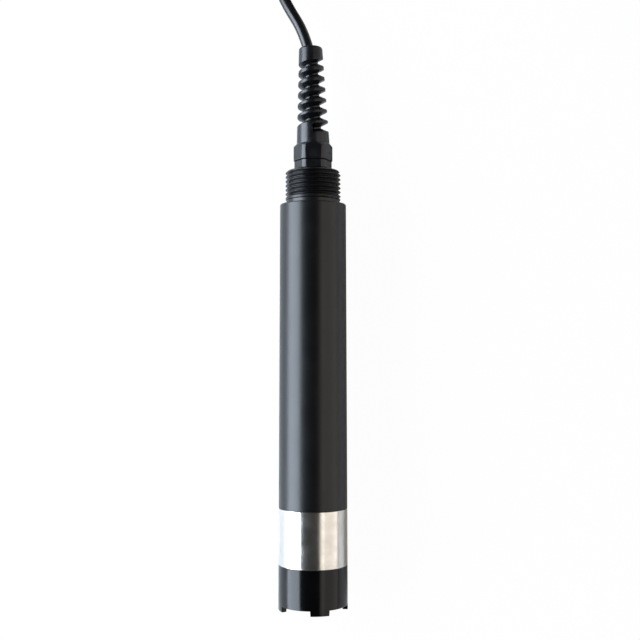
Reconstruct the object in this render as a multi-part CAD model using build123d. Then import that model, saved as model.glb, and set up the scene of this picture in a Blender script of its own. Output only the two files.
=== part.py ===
from build123d import *
import math
import os

os.makedirs("parts", exist_ok=True)

# All sizes are in millimetres.
# The probe is drawn upright: s is the height above its feet, its front looks towards -Y.
# It is then laid on its back, so that its front looks up and its cable end points to +Y.

# Lengths of the outer stretches, from the feet to the end of the strain relief
foot_height = 2.8
guard_length = 22.0
band_length = 31.6
tube_length = 178.6
pipe_length = 20.6
gland_washer_thickness = 0.9
gland_hex_height = 5.4
nut_hex_height = 10.5
relief_length = 61.2

# Outside of the body
body_radius = 20.0
shoulder_round = 1.3
edge_break = 0.3
pipe_radius = 16.62
pipe_neck_radius = 15.7
pipe_neck_length = 1.4
pipe_chamfer = 1.3

# Inside of the housing
housing_wall = 3.0
cavity_end_wall = 7.0
throat_radius = 11.0
throat_end_wall = 11.4

# Clearances
slip_gap = 0.05
turn_gap = 0.3

# Guard cap, its four feet and its sealing ring
guard_wall = 3.0
foot_count = 4
foot_angle = 32.0
front_foot_angle = 11.5
guard_thread_length = 11.0
guard_thread_wall = 3.6
guard_edge = 0.4
guard_lip = 1.6
guard_ring_section = 1.8

# Steel band
band_wall = 1.5

# Moulded core that closes the front of the housing
nose_projection = 11.8
nose_chamfer = 0.8
spigot_length = 18.0
core_bore_radius = 13.0
board_ledge_radius = 11.0
board_ledge_depth = 7.5
light_bore_radius = 6.2
light_bore_depth = 4.2
boss_radius = 10.8
boss_length = 5.8
groove_depth = 1.35
groove_width = 2.2
seal_squeeze = 0.12
seal_bevel = 0.3
band_groove_places = (5.0, 26.6)
spigot_groove_places = (4.0, 10.5)

# Sensing cap, its foil and the window behind it
cap_radius = 14.2
cap_face_thickness = 2.1
cap_chamfer = 0.8
cap_aperture_radius = 6.6
foil_radius = 8.6
foil_thickness = 0.7
window_radius = 7.0
window_thickness = 2.0
cap_groove_place = 3.1

# Optics board and what it carries
optics_board_thickness = 1.6
led_size = 2.8
led_height = 1.5
led_offset = 2.9
photodiode_width = 4.4
photodiode_height = 1.2
optics_socket_width = 10.0
optics_socket_depth = 2.6
optics_socket_height = 2.5
optics_socket_offset = 3.0

# Temperature element behind the steel band
temperature_radius = 1.5
temperature_place = 15.8
temperature_reach = 6.2

# Sled and main board; the rooms are what is left free beyond their cable ends
sled_end_room = 16.6
sled_wall = 1.7
sled_opening = 150.0
sled_ring_length = 4.0
rail_reach = 3.6
rail_height = 4.6
board_end_room = 4.0
board_width = 28.0
board_thickness = 1.6
board_offset = 1.8
board_start = 5.0

# Parts on the main board, each with its place as a share of the board's length
flex_socket_size = (11.0, 2.5, 3.6)
flex_socket_middle = 2.8
processor_size = (12.0, 1.4, 12.0)
processor_share = 0.266
transceiver_size = (5.0, 1.7, 6.2)
transceiver_share = 0.453
inductor_size = (8.0, 4.4, 8.0)
inductor_share = 0.609
capacitor_radius = 3.2
capacitor_height = 8.0
capacitor_share = 0.75
capacitor_spacing = 9.0
terminal_size = (21.0, 9.0, 10.0)
terminal_end_room = 5.0
terminal_pitch = 5.0
wire_hole_radius = 0.9
wire_hole_depth = 6.0
wire_end_gap = 1.0
wire_straight = 3.0

# Flat flex between the two boards
flex_width = 8.0
flex_thickness = 0.3
flex_bend_radius = 20.0

# Cable gland
gland_flats = 21.0
gland_corner_radius = 11.4
gland_thread_radius = 7.9
gland_thread_length = 10.0
gland_cable_gap = 0.5
barrel_radius = 8.9
barrel_height = 8.1
cage_depth = 11.0
cage_wall = 2.4
cage_height = 13.8
cage_bore_radius = 5.0
cage_tip_radius = 5.75
cage_finger_length = 5.0
cage_slot = 1.0
cage_slots = 8
washer_radius = 11.2

# Nut with the spiral strain relief, one moulding
nut_flats = 22.1
nut_corner_radius = 11.9
nut_draft = 1.3
nut_crown_height = 1.9
nut_turn = 2.2
nut_step_radius = 7.55
nut_cone_length = 6.3
relief_base_radius = 10.1
relief_tip_radius = 7.25
relief_tip_round = 1.2
relief_lean = 1.5
relief_lean_place = 14.6
lean_bend_radius = 400.0
relief_cable_gap = 0.15
mouth_radius = 5.75
mouth_length = 12.5

# Helical slot of the strain relief
slot_pitch = 6.83
slot_turns = 6.25
slot_start = 8.8
slot_root_low = 5.05
slot_root_high = 4.15
slot_root_width = 0.8
slot_mouth_width = 5.9
slot_depth = 5.0

# Cable
cable_radius = 3.45
jacket_end_place = 31.6
core_wire_radius = 0.7
core_wire_spread = 1.3
wire_bend_radius = 4.0
exit_bend_radius = 45.0
exit_bend_angle = 13.5
exit_place = 1.47

# Free cable: its first straight run, then offsets from its exit, with true heights last
exit_run = 12.8
cable_offsets = [(-13.26, 29.67, 16.2), (-20.76, 48.87, 9.0)]
cable_offsets += [(-24.46, 68.87, 4.2), (-25.26, 83.87, 3.6)]

# Tied hank of the put-away cable, centred on the probe's axis
hank_half_run = 59.0
hank_end_radius = 31.5
hank_waist = 14.2
hank_height = 28.0
hank_base = 0.15
hank_bevel = 2.0
tie_width = 16.0
tie_thickness = 1.4

# Tail of the cable on top of the hank, with its stripped end; offsets from the hank's centre
tail_points = [(-26.0, -56.0, 25.5), (-20.0, -31.0, 30.7), (-9.0, -9.0, 31.75)]
tail_points += [(-8.2, 9.0, 31.9), (-14.5, 27.0, 32.5)]
tail_room = 1.1
sleeve_length = 16.0
sleeve_wall = 0.5
sleeve_overrun = 5.0
lead_length = 27.0
ferrule_length = 8.0
ferrule_radius = 1.05
lead_spread = 1.25

# Heights of the seams along the probe
band_s = foot_height + guard_length
tube_s = band_s + band_length
shoulder_s = tube_s + tube_length
head_s = shoulder_s + pipe_length
gland_s = head_s + gland_washer_thickness
nut_s = gland_s + gland_hex_height
relief_s = nut_s + nut_hex_height
probe_length = relief_s + relief_length

# Radii and heights that follow from the sizes above
bore_radius = body_radius - housing_wall
band_inner_radius = body_radius - band_wall
seat_radius = band_inner_radius - slip_gap
spigot_radius = bore_radius - slip_gap
guard_bore_radius = body_radius - guard_thread_wall
nose_radius = guard_bore_radius - turn_gap
nose_s = band_s - nose_projection
boss_s = nose_s - boss_length
cap_s = boss_s - slip_gap - cap_face_thickness
ledge_s = nose_s + board_ledge_depth
spigot_s = tube_s + spigot_length
sled_s = spigot_s
sled_length = shoulder_s - cavity_end_wall - sled_end_room - sled_s
board_length = sled_length - board_start - board_end_room
terminal_place = board_length - terminal_end_room - terminal_size[2] / 2
board_s = sled_s + board_start
board_face = board_offset - board_thickness / 2
cavity_s = shoulder_s - cavity_end_wall
throat_s = head_s - throat_end_wall
jacket_s = head_s - jacket_end_place
barrel_s = nut_s + barrel_height
cage_s = barrel_s - cage_depth
relief_bore_radius = cable_radius + relief_cable_gap
mouth_s = probe_length - mouth_length


def face_of(points):
    """A flat face in the plane of the axis, from (radius, height) points."""
    return Plane.XZ * make_face(Polyline(*points, close=True))


def rounded(face, corner, radius):
    """The face with the corner nearest to the (radius, height) point rounded."""
    place = Vector(corner[0], 0, corner[1])
    vertex = min(face.vertices(), key=lambda v: (Vector(v) - place).length)
    return fillet(vertex, radius)


def turned(points, rounds=()):
    """A solid turned about the probe's axis, with some corners of its outline rounded."""
    face = face_of(points)
    for corner, radius in rounds:
        face = rounded(face, corner, radius)
    return revolve(face, Axis.Z)


def ring(inner, outer, low, high, edge=0.0):
    """A plain ring between two radii and two heights, with its outer edges broken."""
    points = [(inner, low), (outer - edge, low), (outer, low + edge)]
    points += [(outer, high - edge), (outer - edge, high), (inner, high)]
    if edge == 0.0:
        points = [(inner, low), (outer, low), (outer, high), (inner, high)]
    return turned(points)


def squeezed_ring(inner, outer, width, middle):
    """A sealing ring as it lies in its groove, pressed flat on both walls, with bevelled sides."""
    bevel = seal_bevel * min(outer - inner, width)
    low = middle - width / 2
    high = middle + width / 2
    points = [(inner, low + bevel), (inner + bevel, low), (outer - bevel, low), (outer, low + bevel)]
    points += [(outer, high - bevel), (outer - bevel, high), (inner + bevel, high), (inner, high - bevel)]
    return turned(points)


def disc(radius, low, high):
    """A plain disc between two heights."""
    return Pos(0, 0, low) * Cylinder(radius, high - low, align=(Align.CENTER, Align.CENTER, Align.MIN))


def front_direction(angle):
    """The unit direction in plan at an angle from the front towards +X."""
    return Vector(math.sin(math.radians(angle)), -math.cos(math.radians(angle)), 0)


def hexagon(flats, low, height, draft=0.0):
    """A hexagonal prism with one flat to the front, narrowing upwards by the draft."""
    shape = RegularPolygon(flats / 2, 6, major_radius=False)
    return Pos(0, 0, low) * Rot(0, 0, nut_turn) * extrude(shape, height, taper=draft)


def on_board(size, place, offset=0.0):
    """A block standing on the front face of the main board, at a place along it."""
    wide, deep, tall = size
    return Pos(offset, board_face - deep / 2, board_s + place) * Box(wide, deep, tall)


def corner_radii(points):
    """The arc radius at each corner of a cable route: 0.45 of its shorter run, by the turn."""
    radii = []
    for before, here, after in zip(points, points[1:], points[2:]):
        first = here - before
        second = after - here
        half_turn = math.radians(first.get_angle(second)) / 2
        radii.append(0.45 * min(first.length, second.length) / math.tan(half_turn))
    return radii


def along(points, radii, section_radius):
    """A round bar of straight runs joined by tangent arcs."""
    path = FilletPolyline(*points, radius=radii)
    section = Plane(origin=path @ 0, z_dir=path % 0) * Circle(section_radius)
    return sweep(section, path=path), path.length


def housing():
    """Closed tube with the pipe thread's core and the gland's tapped hole at its cable end."""
    hole_radius = gland_thread_radius + slip_gap
    neck_s = shoulder_s + pipe_neck_length
    points = [(bore_radius, tube_s), (body_radius - edge_break, tube_s)]
    points += [(body_radius, tube_s + edge_break), (body_radius, shoulder_s)]
    points += [(pipe_neck_radius, shoulder_s), (pipe_neck_radius, neck_s)]
    points += [(pipe_radius, neck_s + pipe_radius - pipe_neck_radius)]
    points += [(pipe_radius, head_s - pipe_chamfer), (pipe_radius - pipe_chamfer, head_s)]
    points += [(hole_radius, head_s), (hole_radius, throat_s), (throat_radius, throat_s)]
    points += [(throat_radius, cavity_s), (bore_radius, cavity_s)]
    return turned(points, [((body_radius, shoulder_s), shoulder_round)])


def steel_band():
    """Flush steel sleeve between the housing and the guard."""
    return ring(band_inner_radius, body_radius, band_s, tube_s, edge_break)


def core_grooves():
    """Heights of the middle of each sealing groove: under the band, then in the spigot."""
    under_band = [band_s + place for place in band_groove_places]
    in_spigot = [tube_s + place for place in spigot_groove_places]
    return under_band, in_spigot


def sensor_core():
    """Stepped core: window boss, threaded nose, band seat and spigot, hollow from behind."""
    points = [(light_bore_radius, boss_s + window_thickness)]
    points += [(window_radius + slip_gap, boss_s + window_thickness)]
    points += [(window_radius + slip_gap, boss_s), (boss_radius, boss_s), (boss_radius, nose_s)]
    points += [(nose_radius - nose_chamfer, nose_s), (nose_radius, nose_s + nose_chamfer)]
    points += [(nose_radius, band_s), (seat_radius, band_s), (seat_radius, tube_s)]
    points += [(spigot_radius, tube_s), (spigot_radius, spigot_s), (core_bore_radius, spigot_s)]
    points += [(core_bore_radius, ledge_s), (board_ledge_radius, ledge_s)]
    points += [(board_ledge_radius, nose_s + light_bore_depth)]
    points += [(light_bore_radius, nose_s + light_bore_depth)]
    core = turned(points)
    under_band, in_spigot = core_grooves()
    for middle in under_band:
        core -= groove(seat_radius, middle)
    for middle in in_spigot:
        core -= groove(spigot_radius, middle)
    core -= groove(boss_radius, boss_s + cap_groove_place)
    return core - temperature_hole()


def groove(surface_radius, middle):
    """The ring of material that a sealing groove takes out of a round surface."""
    low = middle - groove_width / 2
    return ring(surface_radius - groove_depth, surface_radius + 1.0, low, low + groove_width)


def groove_ring(surface_radius, wall_radius, middle):
    """The sealing ring that fills a groove up to the wall that it presses on."""
    inner = surface_radius - groove_depth + slip_gap / 2
    outer = wall_radius - slip_gap / 2
    return squeezed_ring(inner, outer, groove_width - 2 * seal_squeeze, middle)


def band_seals():
    """Two sealing rings between the core and the steel band."""
    under_band, _ = core_grooves()
    return [groove_ring(seat_radius, band_inner_radius, middle) for middle in under_band]


def core_seals():
    """Two sealing rings between the core's spigot and the housing."""
    _, in_spigot = core_grooves()
    return [groove_ring(spigot_radius, bore_radius, middle) for middle in in_spigot]


def cap_seal():
    """Sealing ring between the core's boss and the sensing cap."""
    return groove_ring(boss_radius, boss_radius + slip_gap, boss_s + cap_groove_place)


def sensing_cap():
    """Cup that screws over the boss and holds the sensing foil in its face."""
    inner = boss_radius + slip_gap
    recess = foil_radius + slip_gap
    end_s = nose_s - slip_gap
    points = [(recess, cap_s), (cap_radius - cap_chamfer, cap_s), (cap_radius, cap_s + cap_chamfer)]
    points += [(cap_radius, end_s), (inner, end_s), (inner, cap_s + cap_face_thickness)]
    points += [(cap_aperture_radius, cap_s + cap_face_thickness)]
    points += [(cap_aperture_radius, cap_s + foil_thickness), (recess, cap_s + foil_thickness)]
    return turned(points)


def sensing_foil():
    """Thin disc that carries the sensing layer."""
    return disc(foil_radius, cap_s, cap_s + foil_thickness)


def optical_window():
    """Clear disc set flush in the end of the boss."""
    return disc(window_radius, boss_s, boss_s + window_thickness)


def optics_board():
    """Round board that rests on the ledge inside the core."""
    return disc(core_bore_radius - slip_gap, ledge_s, ledge_s + optics_board_thickness)


def emitter(offset):
    """Small square emitter on the front of the optics board."""
    return Pos(offset, 0, ledge_s - led_height / 2) * Box(led_size, led_size, led_height)


def photodiode():
    """Light detector in the middle of the optics board."""
    middle = Pos(0, led_size + slip_gap, ledge_s - photodiode_height / 2)
    return middle * Box(photodiode_width, led_size, photodiode_height)


def optics_socket():
    """Socket for the flat flex on the back of the optics board."""
    low = ledge_s + optics_board_thickness
    block = Box(optics_socket_width, optics_socket_height, optics_socket_depth)
    return Pos(0, -optics_socket_offset, low + optics_socket_depth / 2) * block


def radial_bar(radius, inner, outer, height):
    """A round bar that points backwards from the axis, between two distances from it."""
    bar = Cylinder(radius, outer - inner, align=(Align.CENTER, Align.CENTER, Align.MIN))
    return Pos(0, inner, height) * Rot(-90, 0, 0) * bar


def temperature_hole():
    """The hole for the temperature element, from the core's bore out to the band."""
    radius = temperature_radius + slip_gap
    return radial_bar(radius, 0, body_radius, band_s + temperature_place)


def temperature_probe():
    """Temperature element whose end lies against the inside of the steel band."""
    end = math.sqrt(band_inner_radius**2 - temperature_radius**2) - slip_gap
    return radial_bar(temperature_radius, end - temperature_reach, end, band_s + temperature_place)


def flex_strip():
    """Flat flex from the optics board's socket to the main board's socket, in a slack bend."""
    start_s = ledge_s + optics_board_thickness + optics_socket_depth
    end_s = board_s + flex_socket_middle - flex_socket_size[2] / 2
    start_y = -optics_socket_offset
    end_y = board_face - flex_socket_size[1] / 2
    third = (end_s - start_s) / 3
    points = [(0, start_y, start_s), (0, start_y, start_s + third)]
    points += [(0, end_y, end_s - third), (0, end_y, end_s)]
    path = FilletPolyline(*points, radius=flex_bend_radius)
    section = Plane(origin=path @ 0, x_dir=(1, 0, 0), z_dir=path % 0)
    return sweep(section * Rectangle(flex_width, flex_thickness), path=path)


def board_sled():
    """Trough with a seating ring and two slotted rails that carries the main board."""
    outer = bore_radius - slip_gap
    inner = outer - sled_wall
    trough = ring(inner, outer, sled_s, sled_s + sled_length)
    reach = 3 * outer
    left = front_direction(-sled_opening / 2) * reach
    right = front_direction(sled_opening / 2) * reach
    wedge = make_face(Polyline((0, 0), (left.X, left.Y), (0, -reach), (right.X, right.Y), close=True))
    trough -= Pos(0, 0, sled_s) * extrude(wedge, sled_length)
    half_board = board_width / 2
    rail = Box(rail_reach, rail_height, sled_length)
    sled = trough
    for side in (-1, 1):
        middle = side * (half_board - 1.2 + rail_reach / 2)
        sled += Pos(middle, board_offset, sled_s + sled_length / 2) * rail
    sled &= disc(outer, sled_s, sled_s + sled_length)
    slot = Box(board_width + 2 * slip_gap, board_thickness + 2 * slip_gap, sled_length)
    sled -= Pos(0, board_offset, board_s + sled_length / 2) * slot
    return sled + ring(inner - 0.6, outer, sled_s, sled_s + sled_ring_length)


def main_board():
    """Long circuit board held by its edges in the sled."""
    middle = Pos(0, board_offset, board_s + board_length / 2)
    return middle * Box(board_width, board_thickness, board_length)


def capacitors():
    """Two storage capacitors that stand on the main board."""
    pair = []
    for side in (-1, 1):
        can = Cylinder(capacitor_radius, capacitor_height, align=(Align.CENTER, Align.CENTER, Align.MIN))
        place = Pos(side * capacitor_spacing / 2, board_face, board_s + board_length * capacitor_share)
        pair.append(place * Rot(90, 0, 0) * can)
    return pair


def terminal_x(index):
    """Sideways place of one of the four wire entries."""
    return (index - 1.5) * terminal_pitch


def terminal_block():
    """Screw terminal for the cable's wires, with an entry hole for each."""
    block = on_board(terminal_size, terminal_place)
    top_s = board_s + terminal_place + terminal_size[2] / 2
    for index in range(4):
        hole = disc(wire_hole_radius, top_s - wire_hole_depth, top_s + 1.0)
        block -= Pos(terminal_x(index), board_face - terminal_size[1] / 2, 0) * hole
    return block


def core_wire(index):
    """One insulated wire from the end of the cable's jacket into the terminal."""
    across = -core_wire_spread if index < 2 else core_wire_spread
    depth = -core_wire_spread if index in (0, 3) else core_wire_spread
    top_s = board_s + terminal_place + terminal_size[2] / 2
    x = terminal_x(index)
    y = board_face - terminal_size[1] / 2
    points = [(across, depth, jacket_s), (across, depth, jacket_s - wire_straight)]
    points += [(x, y, top_s + wire_straight), (x, y, top_s - wire_hole_depth + wire_end_gap)]
    path = FilletPolyline(*points, radius=wire_bend_radius)
    return sweep(Plane(origin=path @ 0, z_dir=path % 0) * Circle(core_wire_radius), path=path)


def gland_washer():
    """Sealing washer between the housing's end and the gland."""
    return ring(gland_thread_radius + slip_gap, washer_radius, head_s, gland_s)


def gland_body():
    """Gland with its housing thread, its hexagon and the barrel that the nut screws on."""
    bore = cable_radius + gland_cable_gap
    low_s = head_s - gland_thread_length
    points = [(bore, low_s), (gland_thread_radius - 0.6, low_s), (gland_thread_radius, low_s + 0.6)]
    points += [(gland_thread_radius, gland_s), (barrel_radius, gland_s)]
    points += [(barrel_radius, barrel_s), (cage_bore_radius + cage_wall, barrel_s)]
    points += [(cage_bore_radius + cage_wall, cage_s), (bore, cage_s)]
    core = turned(points)
    corners = ring(0.001, gland_corner_radius, gland_s, nut_s, edge_break)
    collar = hexagon(gland_flats, gland_s, gland_hex_height) & corners
    return core + (collar - disc(barrel_radius - 0.5, gland_s, nut_s))


def gland_cage():
    """Clamping cage whose fingers are pressed in by the nut's cone."""
    outer = cage_bore_radius + cage_wall - slip_gap
    top_s = cage_s + cage_height
    cone_s = barrel_s - 0.4
    points = [(cage_bore_radius, cage_s), (outer, cage_s), (outer, cone_s)]
    points += [(cage_tip_radius, top_s), (cage_bore_radius, top_s)]
    cage = turned(points)
    slot_length = cage_finger_length + cage_height
    slot = Box(2.5 * outer, cage_slot, slot_length)
    for index in range(cage_slots // 2):
        place = Pos(0, 0, top_s - cage_finger_length + slot_length / 2)
        cage -= place * Rot(0, 0, index * 360 / cage_slots) * slot
    return cage


def gland_seal():
    """Rubber bush that the cage squeezes on to the cable."""
    top_s = cage_s + cage_height - 1.0
    return ring(cable_radius + slip_gap, cage_bore_radius - slip_gap, cage_s, top_s)


def lean(shape):
    """Tilt a shape of the relief slightly to the left, as the cable pulls it."""
    place_s = nut_s + relief_lean_place
    return Pos(0, 0, place_s) * Rot(0, -relief_lean, 0) * Pos(0, 0, -place_s) * shape


def slot_cutter():
    """V-shaped cutter that winds round the relief on a slightly conical right-hand helix."""
    rise = slot_pitch * slot_turns
    narrowing = math.atan2(slot_root_low - slot_root_high, rise)
    path = Helix(
        slot_pitch / math.cos(narrowing), rise, slot_root_low, cone_angle=-math.degrees(narrowing)
    )
    deep = slot_depth + relief_base_radius - slot_root_low
    half_root = slot_root_width / 2
    slope = (slot_mouth_width - slot_root_width) / 2 / slot_depth
    half_mouth = half_root + slope * deep
    points = [(slot_root_low, -half_root), (slot_root_low + deep, -half_mouth)]
    points += [(slot_root_low + deep, half_mouth), (slot_root_low, half_root)]
    cutter = sweep(face_of(points), path=path, is_frenet=True)
    return Pos(0, 0, relief_s + slot_start) * Rot(0, 0, -90) * cutter


def spiral_relief():
    """Tapered relief with its helical slot and a bell mouth for the bending cable."""
    base_s = nut_s + nut_hex_height / 2
    slope = (relief_base_radius - relief_tip_radius) / relief_length
    base_radius = relief_base_radius + slope * (relief_s - base_s)
    points = [(0, base_s), (base_radius, base_s), (relief_tip_radius, probe_length)]
    points += [(0, probe_length)]
    shape = turned(points, [((relief_tip_radius, probe_length), relief_tip_round)])
    shape -= slot_cutter()
    shape -= disc(relief_bore_radius, base_s, probe_length)
    flare = Line((relief_bore_radius, mouth_s), (relief_bore_radius, mouth_s - 1.0))
    arc = RadiusArc((relief_bore_radius, mouth_s), (mouth_radius, probe_length + 0.01), flare_radius())
    edges = Polyline((mouth_radius, probe_length + 0.01), (0, probe_length + 0.01), (0, mouth_s - 1.0))
    last = Line((0, mouth_s - 1.0), (relief_bore_radius, mouth_s - 1.0))
    mouth = Plane.XZ * make_face([flare, arc, *edges.edges(), last])
    return lean(shape - revolve(mouth, Axis.Z))


def flare_radius():
    """Radius of the arc that opens the mouth tangent to the bore."""
    widening = mouth_radius - relief_bore_radius
    return (mouth_length**2 + widening**2) / (2 * widening)


def gland_nut():
    """Hexagonal nut in one piece with the spiral strain relief."""
    crown_s = relief_s - nut_crown_height
    low = nut_corner_radius
    points = [(0, nut_s), (low - edge_break, nut_s), (low, nut_s + edge_break)]
    points += [(low - 0.2, crown_s), (relief_base_radius, relief_s), (0, relief_s)]
    nut = hexagon(nut_flats, nut_s, nut_hex_height, nut_draft) & turned(points)
    nut += spiral_relief()
    bore = barrel_radius + slip_gap
    step_s = barrel_s + 0.2
    cone = [(0, nut_s), (bore, nut_s), (bore, step_s), (nut_step_radius, step_s)]
    cone += [(relief_bore_radius, step_s + nut_cone_length), (0, step_s + nut_cone_length)]
    return nut - turned(cone)


def lean_direction(angle):
    """Unit direction in the upright frame, leaning left by an angle."""
    return Vector(-math.sin(math.radians(angle)), 0, math.cos(math.radians(angle)))


def cable_corner_points():
    """Corners of the held cable: the end of its jacket, the lean, the bend and the exit."""
    tangent = exit_bend_radius * math.tan(math.radians(exit_bend_angle) / 2)
    lean_point = Vector(0, 0, nut_s + relief_lean_place)
    exit_angle = relief_lean + exit_bend_angle
    exit_height = probe_length - exit_place
    drop = tangent * math.cos(math.radians(exit_angle))
    run = (exit_height - drop - lean_point.Z) / math.cos(math.radians(relief_lean))
    bend_point = lean_point + lean_direction(relief_lean) * run
    exit_point = bend_point + lean_direction(exit_angle) * tangent * 1.001
    return [Vector(0, 0, jacket_s), lean_point, bend_point, exit_point]


def held_cable():
    """Cable from its stripped end inside the housing to the mouth of the relief."""
    shape, _ = along(cable_corner_points(), [lean_bend_radius, exit_bend_radius], cable_radius)
    return shape


def guard_recess_s():
    """Height where the guard's wide recess ends and its threaded part begins."""
    return band_s - guard_thread_length


def guard_ring_radius():
    """Middle radius of the guard's sealing ring, clear of the core's nose."""
    return nose_radius + turn_gap + guard_ring_section / 2


def guard_ring_middle():
    """Height of the middle of the guard's sealing ring."""
    return band_s - guard_lip - turn_gap - guard_ring_section / 2


def guard_ring():
    """Sealing ring that the guard carries in the groove behind its lip."""
    inner = guard_ring_radius() - guard_ring_section / 2
    return squeezed_ring(inner, inner + guard_ring_section, guard_ring_section, guard_ring_middle())


def guard_cap():
    """Screwed guard with four feet, a wide recess and a grooved threaded end."""
    recess = body_radius - guard_wall
    groove_radius = guard_ring_radius() + guard_ring_section / 2 + turn_gap
    groove_top = band_s - guard_lip
    groove_low = groove_top - guard_ring_section - 2 * turn_gap
    points = [(recess, 0), (body_radius - guard_edge, 0), (body_radius, guard_edge)]
    points += [(body_radius, band_s - guard_edge), (body_radius - guard_edge, band_s)]
    points += [(guard_bore_radius, band_s), (guard_bore_radius, groove_top)]
    points += [(groove_radius, groove_top), (groove_radius, groove_low)]
    points += [(guard_bore_radius, groove_low), (guard_bore_radius, guard_recess_s())]
    points += [(recess, guard_recess_s() - (recess - guard_bore_radius))]
    cap = turned(points)
    gap_angle = 360 / foot_count - foot_angle
    far = 2 * body_radius
    for index in range(foot_count):
        middle = front_foot_angle + (index + 0.5) * 360 / foot_count
        left = front_direction(middle - gap_angle / 2) * far
        right = front_direction(middle + gap_angle / 2) * far
        gap = make_face(Polyline((0, 0), (left.X, left.Y), (right.X, right.Y), close=True))
        cap -= extrude(gap, foot_height)
    return cap


def laid(shape):
    """Lay an upright shape down with its front up and its middle over the origin."""
    return Pos(0, -probe_length / 2, body_radius) * Rot(-90, 0, 0) * shape


def laid_point(point):
    """The same move for a single point."""
    return Vector(point.X, point.Z - probe_length / 2, body_radius - point.Y)


def free_route():
    """Corner points of the free cable, from the relief's mouth into the hank."""
    bend, start = (laid_point(point) for point in cable_corner_points()[-2:])
    first = start + (start - bend).normalized() * exit_run
    rest = [Vector(start.X + x, start.Y + y, z) for x, y, z in cable_offsets]
    return [start, first] + rest


def hank_middle():
    """Centre of the hank on the surface it lies on."""
    return Vector(0, free_route()[-1].Y + hank_half_run, 0)


def hank_outline(half_waist):
    """Outline of the hank seen from above: two round ends drawn in by the tie."""
    end = hank_end_radius
    run = hank_half_run
    far = ThreePointArc((-end, run), (0, run + end), (end, run))
    near = ThreePointArc((end, -run), (0, -run - end), (-end, -run))
    right = Spline((end, run), (half_waist, 0), (end, -run), tangents=((0, -1), (0, -1)))
    left = Spline((-end, -run), (-half_waist, 0), (-end, run), tangents=((0, 1), (0, 1)))
    return make_face([far, right, near, left])


def tie_section(grow):
    """Cross-section of the tied waist under the strap, or of the strap's outside."""
    side = hank_waist - tie_thickness + grow
    low = hank_base + tie_thickness - grow
    top = hank_base + hank_height - tie_thickness + grow
    tail_x = 0.5 * (tail_points[2][0] + tail_points[3][0])
    tail_top = tail_points[3][2] + cable_radius + tail_room / 4 + grow
    tail_side = cable_radius + tail_room
    points = [(-side, low), (side, low), (side, top), (tail_x + tail_side, tail_top)]
    points += [(tail_x - tail_side, tail_top), (-side, top)]
    return make_face(Polyline(*points, close=True))


def across_hank(section, width):
    """A section across the hank's waist, drawn out along it."""
    block = extrude(Plane.XZ * section, width / 2, both=True)
    return Pos(hank_middle()) * block


def cable_hank():
    """Outer shape of the tied hank, with the groove that the tie draws into its waist."""
    body = extrude(hank_outline(hank_waist), hank_height)
    body = chamfer(body.edges().group_by(Axis.Z)[0], hank_bevel)
    body = chamfer(body.edges().group_by(Axis.Z)[-1], hank_bevel)
    body = Pos(hank_middle()) * Pos(0, 0, hank_base) * body
    far = 2 * hank_end_radius
    strap_room = across_hank(Rectangle(2 * far, 2 * far), tie_width + 2 * slip_gap)
    return body - (strap_room - across_hank(tie_section(-slip_gap), tie_width + 4 * slip_gap))


def hank_tie():
    """Strap round the waist of the hank and the tail on top of it."""
    return across_hank(tie_section(tie_thickness), tie_width) - across_hank(tie_section(0), tie_width + 1)


def tail_route():
    """Corner points of the cable's tail on top of the hank."""
    return [hank_middle() + Vector(*point) for point in tail_points]


def tail_plane():
    """Plane across the cable's stripped end, looking along the leads."""
    route = tail_route()
    return Plane(origin=route[-1], z_dir=route[-1] - route[-2])


def lead_places():
    """Places of the four wires round the cable's end."""
    return GridLocations(2 * lead_spread, 2 * lead_spread, 2, 2)


def tail_sleeve():
    """Shrunk sleeve over the end of the cable's jacket."""
    outer = Circle(cable_radius + slip_gap + sleeve_wall)
    wall = outer - Circle(cable_radius + slip_gap)
    start = tail_plane().offset(sleeve_overrun - sleeve_length)
    return extrude(start * wall, sleeve_length)


def lead_wires():
    """Four insulated wires beyond the end of the jacket."""
    return [extrude(tail_plane() * place * Circle(core_wire_radius), lead_length) for place in lead_places()]


def lead_ferrules():
    """Crimped ferrules on the ends of the four wires."""
    start = tail_plane().offset(lead_length)
    return [extrude(start * place * Circle(ferrule_radius), ferrule_length) for place in lead_places()]


def save(name, shape):
    """Write one node's solids to its own file."""
    solids = shape if isinstance(shape, list) else [shape]
    export_step(Compound(children=[solid for item in solids for solid in item.solids()]), f"parts/{name}.step")


def save_laid(name, shape):
    """Lay an upright node down and write it."""
    solids = shape if isinstance(shape, list) else [shape]
    save(name, [laid(solid) for solid in solids])


def save_cable(name, points):
    """Write one free stretch of the cable, and print its radii, length and volume."""
    radii = corner_radii(points)
    shape, length = along(points, radii, cable_radius)
    expected = math.pi * cable_radius**2 * length
    print(name, "radii", [round(radius, 1) for radius in radii])
    print(name, "length", round(length, 1), "volume share", round(shape.volume / expected, 4))
    save(name, shape)


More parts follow.
